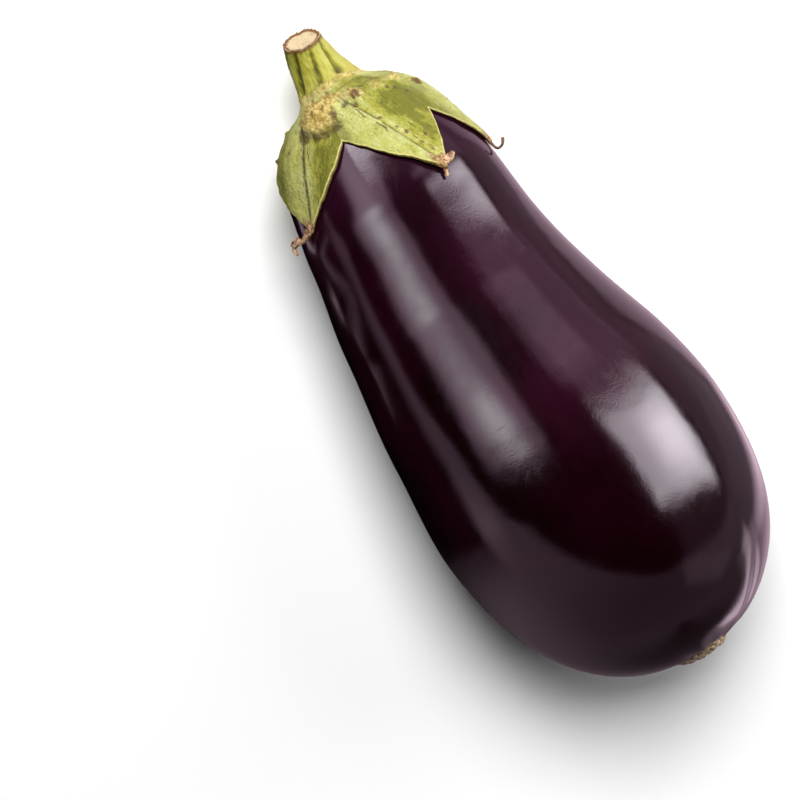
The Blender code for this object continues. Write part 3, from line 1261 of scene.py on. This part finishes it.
    def around(self, points: np.ndarray, lump: Lump) -> np.ndarray:
        """A soft hump round a lump: 1 at its centre and 0.37 at its radius."""
        centre = self.shape.over_skin(np.float64(math.radians(lump.angle)), np.float64(lump.length))
        return hump(distance(points, centre), lump.radius)

    def marks(
        self, bare: np.ndarray, share: np.ndarray, towards_tip: np.ndarray, from_keel_angle: np.ndarray
    ) -> dict[Mark, np.ndarray]:
        """Works out what the material reads.

        Args:
            bare: The points of the skin below the husk.
            share: How far out each ring lies, from 0 to 1.
            towards_tip: How near each column is to a tip.
            from_keel_angle: The angle of each point from its lobe's keel.

        Returns:
            The numbers, under their marks.
        """
        edge_length = np.interp(bare[-1, :, 0], *self.shape.outline[::2])[None, :]
        from_edge = np.stack([distance(row[:, None], bare[-1:]).min(axis=1) for row in bare])
        radius = np.hypot(bare[..., 1] - self.shape.sway(bare[..., 0]), bare[..., 2])
        from_keel = radius * from_keel_angle
        nothing = np.zeros_like(from_keel)
        rough = [min(1.0, 0.7 * lump.height) * self.around(bare, lump) for lump in self.knobs]
        knob = sum(rough, nothing)
        spot = sum((self.around(bare, lump) for lump in self.spots + self.warts), nothing)
        # Painted shade: where the husk's colour is darkened, round the crevices and along the keel groove of
        # lobes folded inwards.
        crevice = sum((self.around(bare, lump) for lump in self.crevices), nothing)
        groove = np.clip(-self.of_lobes("fold", False), 0.0, 1.0) * hump(from_keel - 0.3, 1.2)
        crevice = np.clip(crevice + 0.75 * groove * smooth_step(share, 0.4, 0.6), 0.0, 1.0)
        collar = smooth_step(self.from_stem(bare), self.stem_radius + 5.0, self.stem_radius + 1.0)
        hairy = np.clip(2.0 * knob - 0.9, 0.0, 1.0) * (1.0 - crevice)
        return {
            Mark.RIM: hump(from_edge, 0.5),
            Mark.FOLD: self.fold_height(from_keel) - self.valley(bare, share * edge_length),
            Mark.KEEL: from_keel,
            Mark.KNOB: np.clip(knob + 0.7 * collar, 0.0, 1.0),
            Mark.SPOT: spot,
            Mark.CREVICE: crevice,
            Mark.DRY: towards_tip**6 * smooth_step(share, 0.86, 1.0),
            Mark.GROWTH: hairy * smooth_step(share, 0.2, 0.4),
        }

    @staticmethod
    def fold_height(from_keel: np.ndarray) -> np.ndarray:
        """The tent-like fold of a lobe: 1 along its keel, 0 at its sides, and a groove between."""
        tent = np.clip(1.0 - np.abs(from_keel) / 9.0, 0.0, 1.0) ** 1.3
        return tent + 0.2 * hump(from_keel, 0.7) - 0.3 * hump(from_keel - 1.0, 0.6)

    def valley(self, bare: np.ndarray, length: np.ndarray) -> np.ndarray:
        """The groove that runs from each notch towards the stem, from 0 to 1.

        Args:
            bare: The points of the skin below the husk.
            length: Their lengths over the skin.

        Returns:
            A number for each point.
        """
        found = np.zeros(bare.shape[:-1])
        for lobe in self.lobes:
            reach = np.linspace(lobe.notch_length - self.valley_length, lobe.notch_length, 12)
            path = self.shape.over_skin(np.radians(lobe.notch_angle), reach)
            nearest = np.min([distance(bare, point) for point in path], axis=0)
            deep = smooth_step(length, reach[0], reach[-1] - 5.0)
            found = np.maximum(found, hump(nearest, self.valley_width) * deep)
        return found

    def from_stem(self, bare: np.ndarray) -> np.ndarray:
        """The distance of each point from the stem's middle line."""
        return np.hypot(bare[..., 1] - self.stem_across, bare[..., 2] - self.stem_up)

    def wall(self, bare: np.ndarray, length: np.ndarray, marks: dict[Mark, np.ndarray]) -> np.ndarray:
        """Works out the husk's thickness with all its relief.

        Args:
            bare: The points of the skin below the husk.
            length: Their lengths over the skin.
            marks: What the marks method gave.

        Returns:
            The thickness at each point.
        """
        rim, keel = marks[Mark.RIM], marks[Mark.KEEL]
        out = smooth_step(length, 16.0, 32.0)
        body = 1.0 + (self.of_lobes("body") - 1.0) * out
        wall = (self.thickness + (self.rim_thickness - self.thickness) * rim) * body
        wall = wall + out * self.of_lobes("fold") * self.fold_height(keel)
        wall = wall - self.valley_depth * self.valley(bare, length)
        veins = np.stack([keel / 1.7, length / 9.0, bare[..., 1] / 30.0], -1)
        wall = wall + 0.16 * out * turbulence(veins, 1.0, 5)
        wall = wall + 0.24 * turbulence(bare, 7.0, 11) + 0.10 * turbulence(bare, 1.6, 12)
        crust = 1.0 + 0.7 * turbulence(bare, 1.4, 21)
        for lump in self.knobs + self.warts:
            wall = wall + lump.height * crust * self.around(bare, lump)
        for lump in self.crevices:
            wall = wall + lump.height * self.around(bare, lump)
        beyond = np.maximum(self.from_stem(bare) - self.stem_radius + 0.8, 0.0)
        angle = np.arctan2(bare[..., 1] - self.stem_across, bare[..., 2])
        uneven = (0.7 + 0.3 * np.cos(angle + 0.5)) * (0.85 + 0.15 * crust)
        wall = wall + self.collar_height * hump(beyond, self.collar_reach) * uneven
        return np.maximum(wall, 0.3)


@dataclass(frozen=True)
class Strand:
    """A dried strand at a lobe's tip: the angle and length where it starts, and its two halves.

    Each bend has millimetres along, across and off the skin from the start, and its width.
    """

    start: tuple[float, float]
    held: tuple[Bend, ...]
    free: tuple[Bend, ...]


@dataclass(frozen=True)
class DryTips(Part):
    """The brown, curled ends of the calyx's lobes."""

    strands: tuple[Strand, ...] = (
        Strand(
            (-56.0, 46.2),
            ((-3.0, 0.5, 0.2, 1.2), (-0.6, 0.0, 0.9, 1.7), (1.2, -3.2, 1.8, 1.3)),
            ((1.0, -6.6, 2.8, 1.5), (1.6, -9.0, 3.6, 1.2), (3.6, -8.6, 3.4, 0.7)),
        ),
        Strand(
            (-58.0, 46.2),
            ((-1.5, -1.0, 0.6, 0.8), (0.8, -4.2, 1.6, 1.0)),
            ((-0.6, -7.6, 2.6, 0.9), (0.4, -9.6, 3.6, 0.5)),
        ),
        Strand(
            (29.0, 52.6),
            ((-2.6, -0.6, 0.4, 1.6), (-0.8, 0.2, 1.5, 2.6)),
            ((0.0, 1.8, 2.1, 2.0), (-0.8, 3.0, 2.8, 1.2)),
        ),
        Strand(
            (28.0, 53.4),
            ((-2.2, 0.6, 0.4, 1.6), (0.0, 0.2, 1.1, 1.6)),
            ((1.4, -0.5, 1.3, 1.2), (2.8, -0.9, 1.2, 0.9)),
        ),
        Strand(
            (28.0, 52.2),
            ((-1.6, -2.0, 0.6, 1.0), (0.2, -0.8, 1.6, 1.8)),
            ((0.8, 0.8, 2.3, 1.6), (-0.4, 2.2, 3.0, 1.0)),
        ),
        Strand(
            (155.0, 49.6),
            ((-3.0, 0.0, 0.3, 1.1), (0.0, 0.0, 0.9, 1.5)),
            ((2.2, 0.5, 1.3, 1.2), (3.2, 1.8, 2.2, 0.7)),
        ),
        Strand(
            (227.0, 48.6),
            ((-3.0, 0.0, 0.3, 1.1), (0.0, 0.0, 0.9, 1.6)),
            ((1.8, -0.6, 1.5, 1.2), (2.2, -2.4, 2.4, 0.7)),
        ),
    )
    hook: Strand = Strand(
        (79.0, 52.6),
        ((-4.0, 0.0, 0.1, 0.8), (-1.0, 0.0, 0.5, 1.1), (1.8, 0.0, 0.7, 0.9)),
        ((3.8, 0.0, 1.3, 0.8), (3.9, 0.0, 3.0, 0.8), (2.5, 0.0, 4.3, 1.0)),
    )
    crumple: float = 0.7
    hook_crumple: float = 0.25
    headroom: float = 0.5 * MM

    def build(self, finish: Withered, hook_finish: Withered) -> None:
        """Makes a piece of each strand.

        Args:
            finish: The pale strands' finish.
            hook_finish: The dark hook's finish.
        """
        material = finish.build("withered_tip", self.place)
        tree = WitheredPath("withered_strand", self.crumple, material)
        for number, strand in enumerate(self.strands, 1):
            add_piece(f"dry_tip_{number}", tree.grow(self.line(strand)), [], Slot.HUSK)
        material = hook_finish.build("withered_hook", self.place)
        tree = WitheredPath("withered_hook", self.hook_crumple, material)
        add_piece("dry_hook", tree.grow(self.line(self.hook)), [], Slot.HUSK)

    def line(self, strand: Strand) -> bpy.types.Mesh:
        """Lays a strand's line of points over the skin, with its width kept on them.

        Args:
            strand: The strand.

        Returns:
            A mesh of joined points.
        """
        along, across, lift, width = np.array(strand.held + strand.free).T
        length = strand.start[1] + along
        radius = np.interp(length, self.shape.outline[2], self.shape.outline[1])
        angle = math.radians(strand.start[0]) + across / radius
        points = self.place.put(self.shape.over_skin(angle, length, lift))
        points[:, 2] += self.headroom * (points[:, 2] < self.headroom)
        mesh = bpy.data.meshes.new("strand_line")
        mesh.from_pydata(points.tolist(), [(step, step + 1) for step in range(len(points) - 1)], [])
        layer = mesh.attributes.new(Mark.WIDTH.value, "FLOAT", "POINT")
        layer.data.foreach_set("value", width)
        return mesh


# --- The stem ----------------------------------------------------------------


@dataclass(frozen=True)
class Stem(Part):
    """The woody stalk: fluted, bent upwards, flared into the calyx and cut square with a ragged rim."""

    line: tuple[Point, ...] = (
        (0.6, 4.4, 0.4), (-2.8, 4.4, 0.4), (-6.1, 4.4, 0.9),
        (-9.6, 4.5, 2.0), (-13.1, 4.8, 3.7), (-16.5, 5.3, 5.8),
    )
    radii: tuple[float, ...] = (10.4, 9.2, 8.1, 7.1, 6.2, 5.5)
    furrows: tuple[Point, ...] = (
        (-66.0, 0.5, 6.0), (-32.0, 0.45, 6.0), (3.0, 1.0, 15.0), (31.0, 1.0, 3.8),
        (45.0, 0.4, 3.0), (59.0, 0.5, 3.0), (80.0, 0.8, 6.0), (132.0, 1.0, 7.0),
        (176.0, 0.8, 6.0), (222.0, 1.0, 7.0), (262.0, 0.8, 7.0),
    )
    furrow_depth: float = 0.13
    furrow_twist: float = 24.0
    rows: int = 110
    columns: int = 168
    cut_rows: int = 14
    bark_relief: float = 0.16
    rim_relief: float = 0.22
    dish_depth: float = 0.5
    cut_relief: float = 0.10
    hollows: tuple[Point, ...] = ((-3.4, 8.6, 7.6), (-1.8, 1.6, 9.0))
    hollow_radius: float = 1.3
    cut_depth: float = 0.9
    cut_facing: float = 0.55

    def build(self, bark: Bark, pith: Pith) -> bpy.types.Object:
        """Makes the piece.

        Args:
            bark: The finish of its side.
            pith: The finish of its cut face.

        Returns:
            The stem.
        """
        angle = once_round(self.columns)
        share = np.linspace(0.0, 1.0, self.rows)
        centres, forward, along = self.middle(share)
        radius = np.interp(along, self.middle(np.linspace(0, 1, len(self.radii)))[2], self.radii)
        ridge = self.ridge(angle[None, :], share[:, None])
        fade = smooth_step(share, 0.0, 0.25)[:, None]
        shallow = (0.35 + 0.65 * fade) * (1.0 - 0.5 * smooth_step(share, 0.75, 1.0)[:, None])
        reach = radius[:, None] * (1.0 + (ridge - 0.75) * self.furrow_depth * shallow)
        side = np.array([0.0, 1.0, 0.0]) - forward[:, 1:2] * forward
        side /= np.linalg.norm(side, axis=1, keepdims=True)
        up = np.cross(side, forward)
        sine, cosine = np.sin(angle)[None, :, None], np.cos(angle)[None, :, None]
        ring = sine * side[:, None, :] - cosine * up[:, None, :]
        walls = centres[:, None, :] + reach[..., None] * ring
        walls = walls + self.bark_relief * turbulence(walls, 3.0, 31)[..., None] * ring
        ragged = self.rim_relief * turbulence(walls[-1], 1.2, 33)
        walls[-1] += ragged[:, None] * forward[-1]
        inwards = np.linspace(0.93, 0.0, self.cut_rows) ** 1.1
        dish = -self.dish_depth * (1.0 - inwards**4)
        inwards, dish = inwards[:, None, None], dish[:, None, None]
        cut = centres[-1] + (walls[-1] - centres[-1]) * inwards + forward[-1] * dish
        grain = self.cut_relief * turbulence(cut, 0.7, 35)
        cut = cut + forward[-1] * grain[..., None] * (inwards > 0)
        bottom = np.repeat(centres[:1, None, :], self.columns, axis=1)
        points = np.concatenate([bottom, walls, cut])
        edge_share = np.concatenate([np.zeros(1 + self.rows), inwards.ravel()])[:, None]
        torn = np.concatenate([[0.0], smooth_step(share, 0.975, 0.995), np.zeros(self.cut_rows)])
        marks = {
            Mark.RIDGE: np.concatenate([ridge[:1], ridge, np.repeat(ridge[-1:], self.cut_rows, axis=0)]),
            Mark.ALONG: np.concatenate([[0.0], along, np.full(self.cut_rows, along[-1])])[:, None],
            Mark.RIM: edge_share**5,
            Mark.CREVICE: self.crevices(points),
            Mark.GROWTH: torn[:, None],
        }
        stalk = self.show("stem_stalk", points, marks, Slot.BARK, Node.STEM, bark, pith)
        self.paint_cut(stalk.data, centres[-1], forward[-1])
        return stalk

    def add_splinters(self, stalk: bpy.types.Object, finish: Withered) -> bpy.types.Object:
        """Roughens the rim of the cut with torn fibres.

        Args:
            stalk: The stem.
            finish: The fibres' finish.

        Returns:
            The fibres.
        """
        sizes = {"Density": 1.6e6, "Length": 0.6 * MM, "Width": 0.45 * MM, "Lean": 1.2}
        tree = Growth("splinters", sizes, finish.build("splinters", self.place), 3)
        return add_piece("cut_splinters", tree.grow(stalk.data.copy()), [], Slot.BARK)

    def middle(self, share: np.ndarray) -> tuple[np.ndarray, np.ndarray, np.ndarray]:
        """Reads the stem's middle line.

        Args:
            share: How far along it, from 0 at the calyx to 1 at the cut.

        Returns:
            The points, the direction there, and the distance from the calyx.
        """
        knots = np.array(self.line)
        places = np.linspace(0.0, 1.0, len(knots))
        fits = [np.polyfit(places, column, 3) for column in knots.T]
        curve = np.stack([np.polyval(fit, share) for fit in fits], axis=-1)
        ahead = np.stack([np.polyval(np.polyder(fit), share) for fit in fits], axis=-1)
        forward = ahead / np.linalg.norm(ahead, axis=1, keepdims=True)
        along = -(curve[:, 0] - knots[1][0])
        return curve, forward, along

    def ridge(self, angle: np.ndarray, share: np.ndarray) -> np.ndarray:
        """Works out how high the ridges stand.

        Args:
            angle: Radians round the stem.
            share: How far along it, from 0 at the calyx to 1 at the cut.

        Returns:
            Numbers from 0 in a furrow to 1 on a crest.
        """
        height = np.ones(np.broadcast_shapes(angle.shape, share.shape))
        for centre, depth, width in self.furrows:
            turned = np.degrees(angle) - centre - self.furrow_twist * (1.0 - share)
            height -= depth * hump((turned + ROUND / 2.0) % ROUND - ROUND / 2.0, width)
        return np.clip(height, 0.0, 1.0)

    def crevices(self, points: np.ndarray) -> np.ndarray:
        """Marks the hollows where the furrows run into the collar, for painted shade there."""
        dark = (hump(distance(points, np.array(place)), self.hollow_radius) for place in self.hollows)
        return np.clip(sum(dark), 0.0, 1.0)

    def paint_cut(self, mesh: bpy.types.Mesh, centre: np.ndarray, forward: np.ndarray) -> None:
        """Gives the faces of the cut the second material.

        Args:
            mesh: The stem's mesh.
            centre: The middle of the cut.
            forward: The way the cut faces.
        """
        middle = np.array(self.place.matrix @ Vector(centre.tolist()))
        facing = np.array(self.place.turn) @ forward
        for face in mesh.polygons:
            on_face = np.dot(np.array(face.center) - middle, facing) > -self.cut_depth * MM
            if on_face and np.dot(np.array(face.normal), facing) > self.cut_facing:
                face.material_index = 1


# --- The blossom scar --------------------------------------------------------


@dataclass(frozen=True)
class BlossomScar(Part):
    """The corky patch where the flower was, with an uneven edge and a pit at its middle."""

    radius: float = 8.0
    thickness: float = 0.9
    pit_radius: float = 1.4
    root_depth: float = 1.4
    rows: int = 44
    columns: int = 128

    def build(self, finish: Cork) -> bpy.types.Object:
        """Makes the piece.

        Args:
            finish: The cork's finish.

        Returns:
            The scar.
        """
        angle = once_round(self.columns)[None, :]
        uneven = 1.0 + 0.10 * np.sin(3.0 * angle + 0.6) + 0.06 * np.sin(7.0 * angle)
        share = np.linspace(0.0, 1.0, self.rows)[:, None]
        reach = self.radius * uneven * share
        length = self.shape.skin_length - reach
        bare = self.shape.over_skin(angle, length)
        relief = 0.45 * turbulence(bare, 2.4, 41) + 0.25 * turbulence(bare, 0.9, 42)
        pit = -1.0 * hump(reach, self.pit_radius)
        outer = np.maximum((self.thickness + relief + pit) * smooth_step(share, 1.04, 0.75), -0.6)
        inner = np.full_like(outer, -self.root_depth)
        lengths = np.concatenate([length, length[::-1]])
        lifts = np.concatenate([outer, inner])
        points = self.shape.over_skin(angle, lengths, lifts)
        return self.show("blossom_cork", points, {}, Slot.CORK, Node.SCAR, finish)


# --- Table, lights and camera ------------------------------------------------


@dataclass(frozen=True)
class Lamp:
    """A large soft lamp that shades the scene. Its place is by angles from the camera's line, in degrees."""

    name: str
    across: float
    along: float
    size: float
    radiance: float
    distance: float = 1.3


@dataclass(frozen=True)
class Panel:
    """A soft-edged pale panel that the gloss mirrors.

    Its middle, half sizes, roll and edge are in degrees. Blur softens its sides more, and lean slants them.
    """

    across: float
    along: float
    half_across: float
    half_along: float
    edge: float
    radiance: float
    roll: float = 0.0
    blur: float = 0.0
    lean: float = 0.0

    def glow(self, across: Value, along: Value) -> Value:
        """Works out how bright the panel is in a direction.

        Args:
            across: The direction's angle round the fruit from the camera's line.
            along: Its angle towards the blossom end.

        Returns:
            The brightness.
        """
        turn = math.radians(self.roll)
        ahead = along - self.along
        aside = across - self.across + ahead * self.lean
        wide = (aside * math.cos(turn) + ahead * math.sin(turn)).math("ABSOLUTE")
        high = (ahead * math.cos(turn) - aside * math.sin(turn)).math("ABSOLUTE")
        side = self.edge + self.blur
        inside = wide.step(self.half_across + side, self.half_across - side)
        return inside * high.step(self.half_along + self.edge, self.half_along - self.edge) * self.radiance


@dataclass(frozen=True)
class Studio:
    """The pale table, the lamps, the panels and the camera that looks down on the fruit."""

    place: RestingPlace
    aim: Point = (81.1, -29.6, 0.0)
    lit: Point = (95.0, 0.0, 0.0)
    field: float = 224.0
    lens: float = 110.0
    sensor: float = 36.0
    roll: float = 55.0
    table_size: float = 6.0
    backdrop: Colour = (0.80, 0.80, 0.80)
    dim_tint: Colour = (1.30, 0.90, 1.12)
    dimmest: float = 0.002
    floor_side: Point = (0.640, -0.316, -0.700)
    floor_glow: float = 0.50
    floor_shade: Panel = Panel(-145.0, -18.0, 50.0, 26.0, 7.0, 1.0)
    wedge_point: tuple[float, float] = (148.0, 3.0)
    lamps: tuple[Lamp, ...] = (
        Lamp("overhead_lamp", 11.0, -17.0, 0.6, 21.5),
        Lamp("right_lamp", 58.0, 5.0, 0.9, 3.0),
    )
    panels: tuple[Panel, ...] = (
        Panel(60.0, 6.2, 22.0, 16.7, 3.0, 7.0),
        Panel(65.0, 6.0, 12.0, 11.0, 9.0, 9.5),
        Panel(-26.5, -30.0, 25.5, 17.5, 3.5, 1.5, blur=2.0, lean=0.55),
        Panel(-35.0, -30.0, 12.0, 17.5, 3.5, 1.4, blur=8.0, lean=0.2),
        Panel(-34.0, -18.2, 10.0, 4.0, 2.8, 4.6, blur=8.0, lean=0.3),
        Panel(8.0, -50.0, 30.0, 15.0, 2.0, 8.0),
        Panel(48.0, -22.5, 16.0, 2.5, 2.5, 0.9),
        Panel(66.0, -20.0, 26.0, 8.0, 4.0, 0.6),
        Panel(66.0, 36.0, 24.0, 14.0, 5.0, 0.12),
        Panel(62.0, 56.0, 24.0, 7.0, 4.0, 0.30),
        Panel(-85.0, -1.0, 9.0, 6.0, 6.0, 0.45),
        Panel(-112.0, -17.0, 13.0, 1.0, 1.5, 0.5, -22.0),
        Panel(-138.0, -15.0, 8.0, 0.8, 1.0, 1.0),
        Panel(135.0, 43.5, 31.0, 5.0, 2.5, 1.5, 6.0),
        Panel(142.0, 19.0, 22.0, 3.5, 3.0, 0.7, -38.0),
    )

    def build(self, top: TableTop) -> None:
        """Makes the table, the surroundings, the lamps and the camera.

        Args:
            top: The table's finish.
        """
        bpy.context.scene.view_settings.view_transform = "Standard"
        self.add_table(top)
        self.light_world()
        for lamp in self.lamps:
            self.add_lamp(lamp)
        self.add_camera()

    def add_table(self, top: TableTop) -> None:
        """Lays the table's top at the height where the fruit rests.

        Args:
            top: Its finish.
        """
        bpy.ops.mesh.primitive_plane_add(size=self.table_size)
        table = bpy.context.object
        table.name = "table_top"
        table.data.materials.append(top.build(self.place))
        table.visible_glossy = False

    def light_world(self) -> None:
        """Surrounds the fruit with what its gloss mirrors: dark overhead, panels and a dim floor."""
        world = bpy.data.worlds.new("studio")
        world.use_nodes = True
        world.cycles_visibility.diffuse = False
        bpy.context.scene.world = world
        tree = NodeTree(world.node_tree)
        direction = tree.value("ShaderNodeTexCoord", out="Generated")

        def towards(axis: Point) -> Value:
            """How far the direction points along an axis of the fruit."""
            turned = tuple(self.place.turn @ Vector(axis))
            settings = {"operation": "DOT_PRODUCT"}
            return tree.value("ShaderNodeVectorMath", settings, {0: direction, 1: turned}, "Value")

        degree = 180.0 / math.pi
        across = towards((0.0, 1.0, 0.0)).math("ARCTAN2", towards((0.0, 0.0, 1.0))) * degree
        along = towards((1.0, 0.0, 0.0)).math("ARCSINE") * degree
        level = across.math("ABSOLUTE").step(165.0, 95.0) * 0.75 + 0.25
        shade = 1.0 - self.floor_shade.glow(across, along)
        near = along.step(60.0, 5.0) * 0.55 + 0.45
        floor = towards(self.floor_side).step(-0.03, 0.05) * level * shade * near * self.floor_glow
        glow = floor.math("MAXIMUM", self.right_side(across, along)) + self.dimmest
        glow = sum((panel.glow(across, along) for panel in self.panels), glow).math("MAXIMUM", 0.0)
        tint = {0: glow.step(0.4, 5.0), 6: (*self.dim_tint, 1.0), 7: (1.0, 1.0, 1.0, 1.0)}
        colour = tree.value("ShaderNodeMix", {"data_type": "RGBA"}, tint, 2)
        mirrored = tree.value("ShaderNodeBackground", None, {"Color": colour, "Strength": glow})
        plain = tree.value("ShaderNodeBackground", None, {"Color": (*self.backdrop, 1.0)})
        seen = tree.value("ShaderNodeLightPath", out="Is Camera Ray")
        surface = tree.value("ShaderNodeMixShader", None, {0: seen, 1: mirrored, 2: plain})
        tree.add("ShaderNodeOutputWorld", None, {"Surface": surface})

    def right_side(self, across: Value, along: Value) -> Value:
        """Works out the pale room on the right, with a dim wedge that ends in a dark outline.

        Args:
            across: The direction's angle round the fruit from the camera's line.
            along: Its angle towards the blossom end.

        Returns:
            How bright the room is there.
        """
        point_across, point_along = self.wedge_point
        below = (point_across - across) - (along - point_along) * 1.03
        above = (point_across - across) - (point_along - along) * 1.8
        nearest = below.math("MINIMUM", above)
        wedge = nearest.step(-1.5, 1.5)
        outline = nearest.step(9.0, 3.0) * 0.55
        room = wedge * (0.34 - outline * 0.34) + (1.0 - wedge) * 0.66
        return room * across.step(87.0, 92.0) * across.step(182.0, 160.0) * along.step(60.0, 46.0)

    def direction(self, across: float, along: float) -> Vector:
        """A direction from the fruit, by its angles from the camera's line.

        Args:
            across: Its angle round the fruit.
            along: Its angle towards the blossom end.

        Returns:
            The direction, on the table.
        """
        tilt, swing = math.radians(across), math.radians(along)
        local = Vector((math.sin(swing), math.cos(swing) * math.sin(tilt), math.cos(swing) * math.cos(tilt)))
        return self.place.turn @ local

    def add_lamp(self, lamp: Lamp) -> None:
        """Hangs one lamp, facing the fruit. The gloss mirrors the panels in its stead.

        Args:
            lamp: The lamp.
        """
        light = bpy.data.lights.new(lamp.name, "AREA")
        light.shape = "SQUARE"
        light.size = lamp.size
        light.energy = lamp.radiance * math.pi * lamp.size**2
        towards = self.direction(lamp.across, lamp.along)
        hung = bpy.data.objects.new(lamp.name, light)
        centre = self.place.matrix @ Vector(self.lit)
        turn = towards.to_track_quat("Z", "Y")
        hung.matrix_world = Matrix.LocRotScale(centre + towards * lamp.distance, turn, None)
        hung.visible_camera = False
        hung.visible_glossy = False
        bpy.context.scene.collection.objects.link(hung)

    def add_camera(self) -> None:
        """Looks straight down on the fruit, with its blossom end at the lower right."""
        roll = math.radians(self.roll)
        right = Vector((math.cos(roll), math.sin(roll), 0.0))
        up = Vector((-math.sin(roll), math.cos(roll), 0.0))
        back = Vector((0.0, 0.0, 1.0))
        turn = self.place.turn @ Matrix((right, up, back)).transposed()
        data = bpy.data.cameras.new("camera")
        data.sensor_width = self.sensor
        data.lens = self.lens
        distance = self.field * MM * self.lens / self.sensor
        place = self.place.matrix @ Vector(self.aim) + turn @ Vector((0.0, 0.0, distance))
        camera = bpy.data.objects.new("camera", data)
        camera.matrix_world = Matrix.LocRotScale(place, turn.to_quaternion(), None)
        bpy.context.scene.collection.objects.link(camera)
        bpy.context.scene.camera = camera


def main() -> None:
    """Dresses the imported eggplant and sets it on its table."""
    logging.basicConfig(level=logging.INFO, format="%(name)s: %(message)s")
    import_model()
    place = RestingPlace(FruitShape())
    Studio(place).build(TableTop())
    Fruit(place).build(WaxySkin())
    calyx = Calyx(place)
    husk = calyx.build(Husk())
    calyx.add_down(husk, Withered((0.620, 0.460, 0.170), (0.320, 0.180, 0.050)))
    DryTips(place).build(Withered(), Withered((0.150, 0.070, 0.030), (0.050, 0.020, 0.010)))
    stem = Stem(place)
    stem.add_splinters(stem.build(Bark(), Pith()), Withered((0.260, 0.130, 0.040), (0.110, 0.045, 0.015)))
    BlossomScar(place).build(Cork())


def plain(box: tuple[Vector, Vector]) -> list[list[float]]:
    """A box as plain lists of numbers."""
    return [[float(number) for number in corner] for corner in box]


if __name__ == "__main__":
    main()
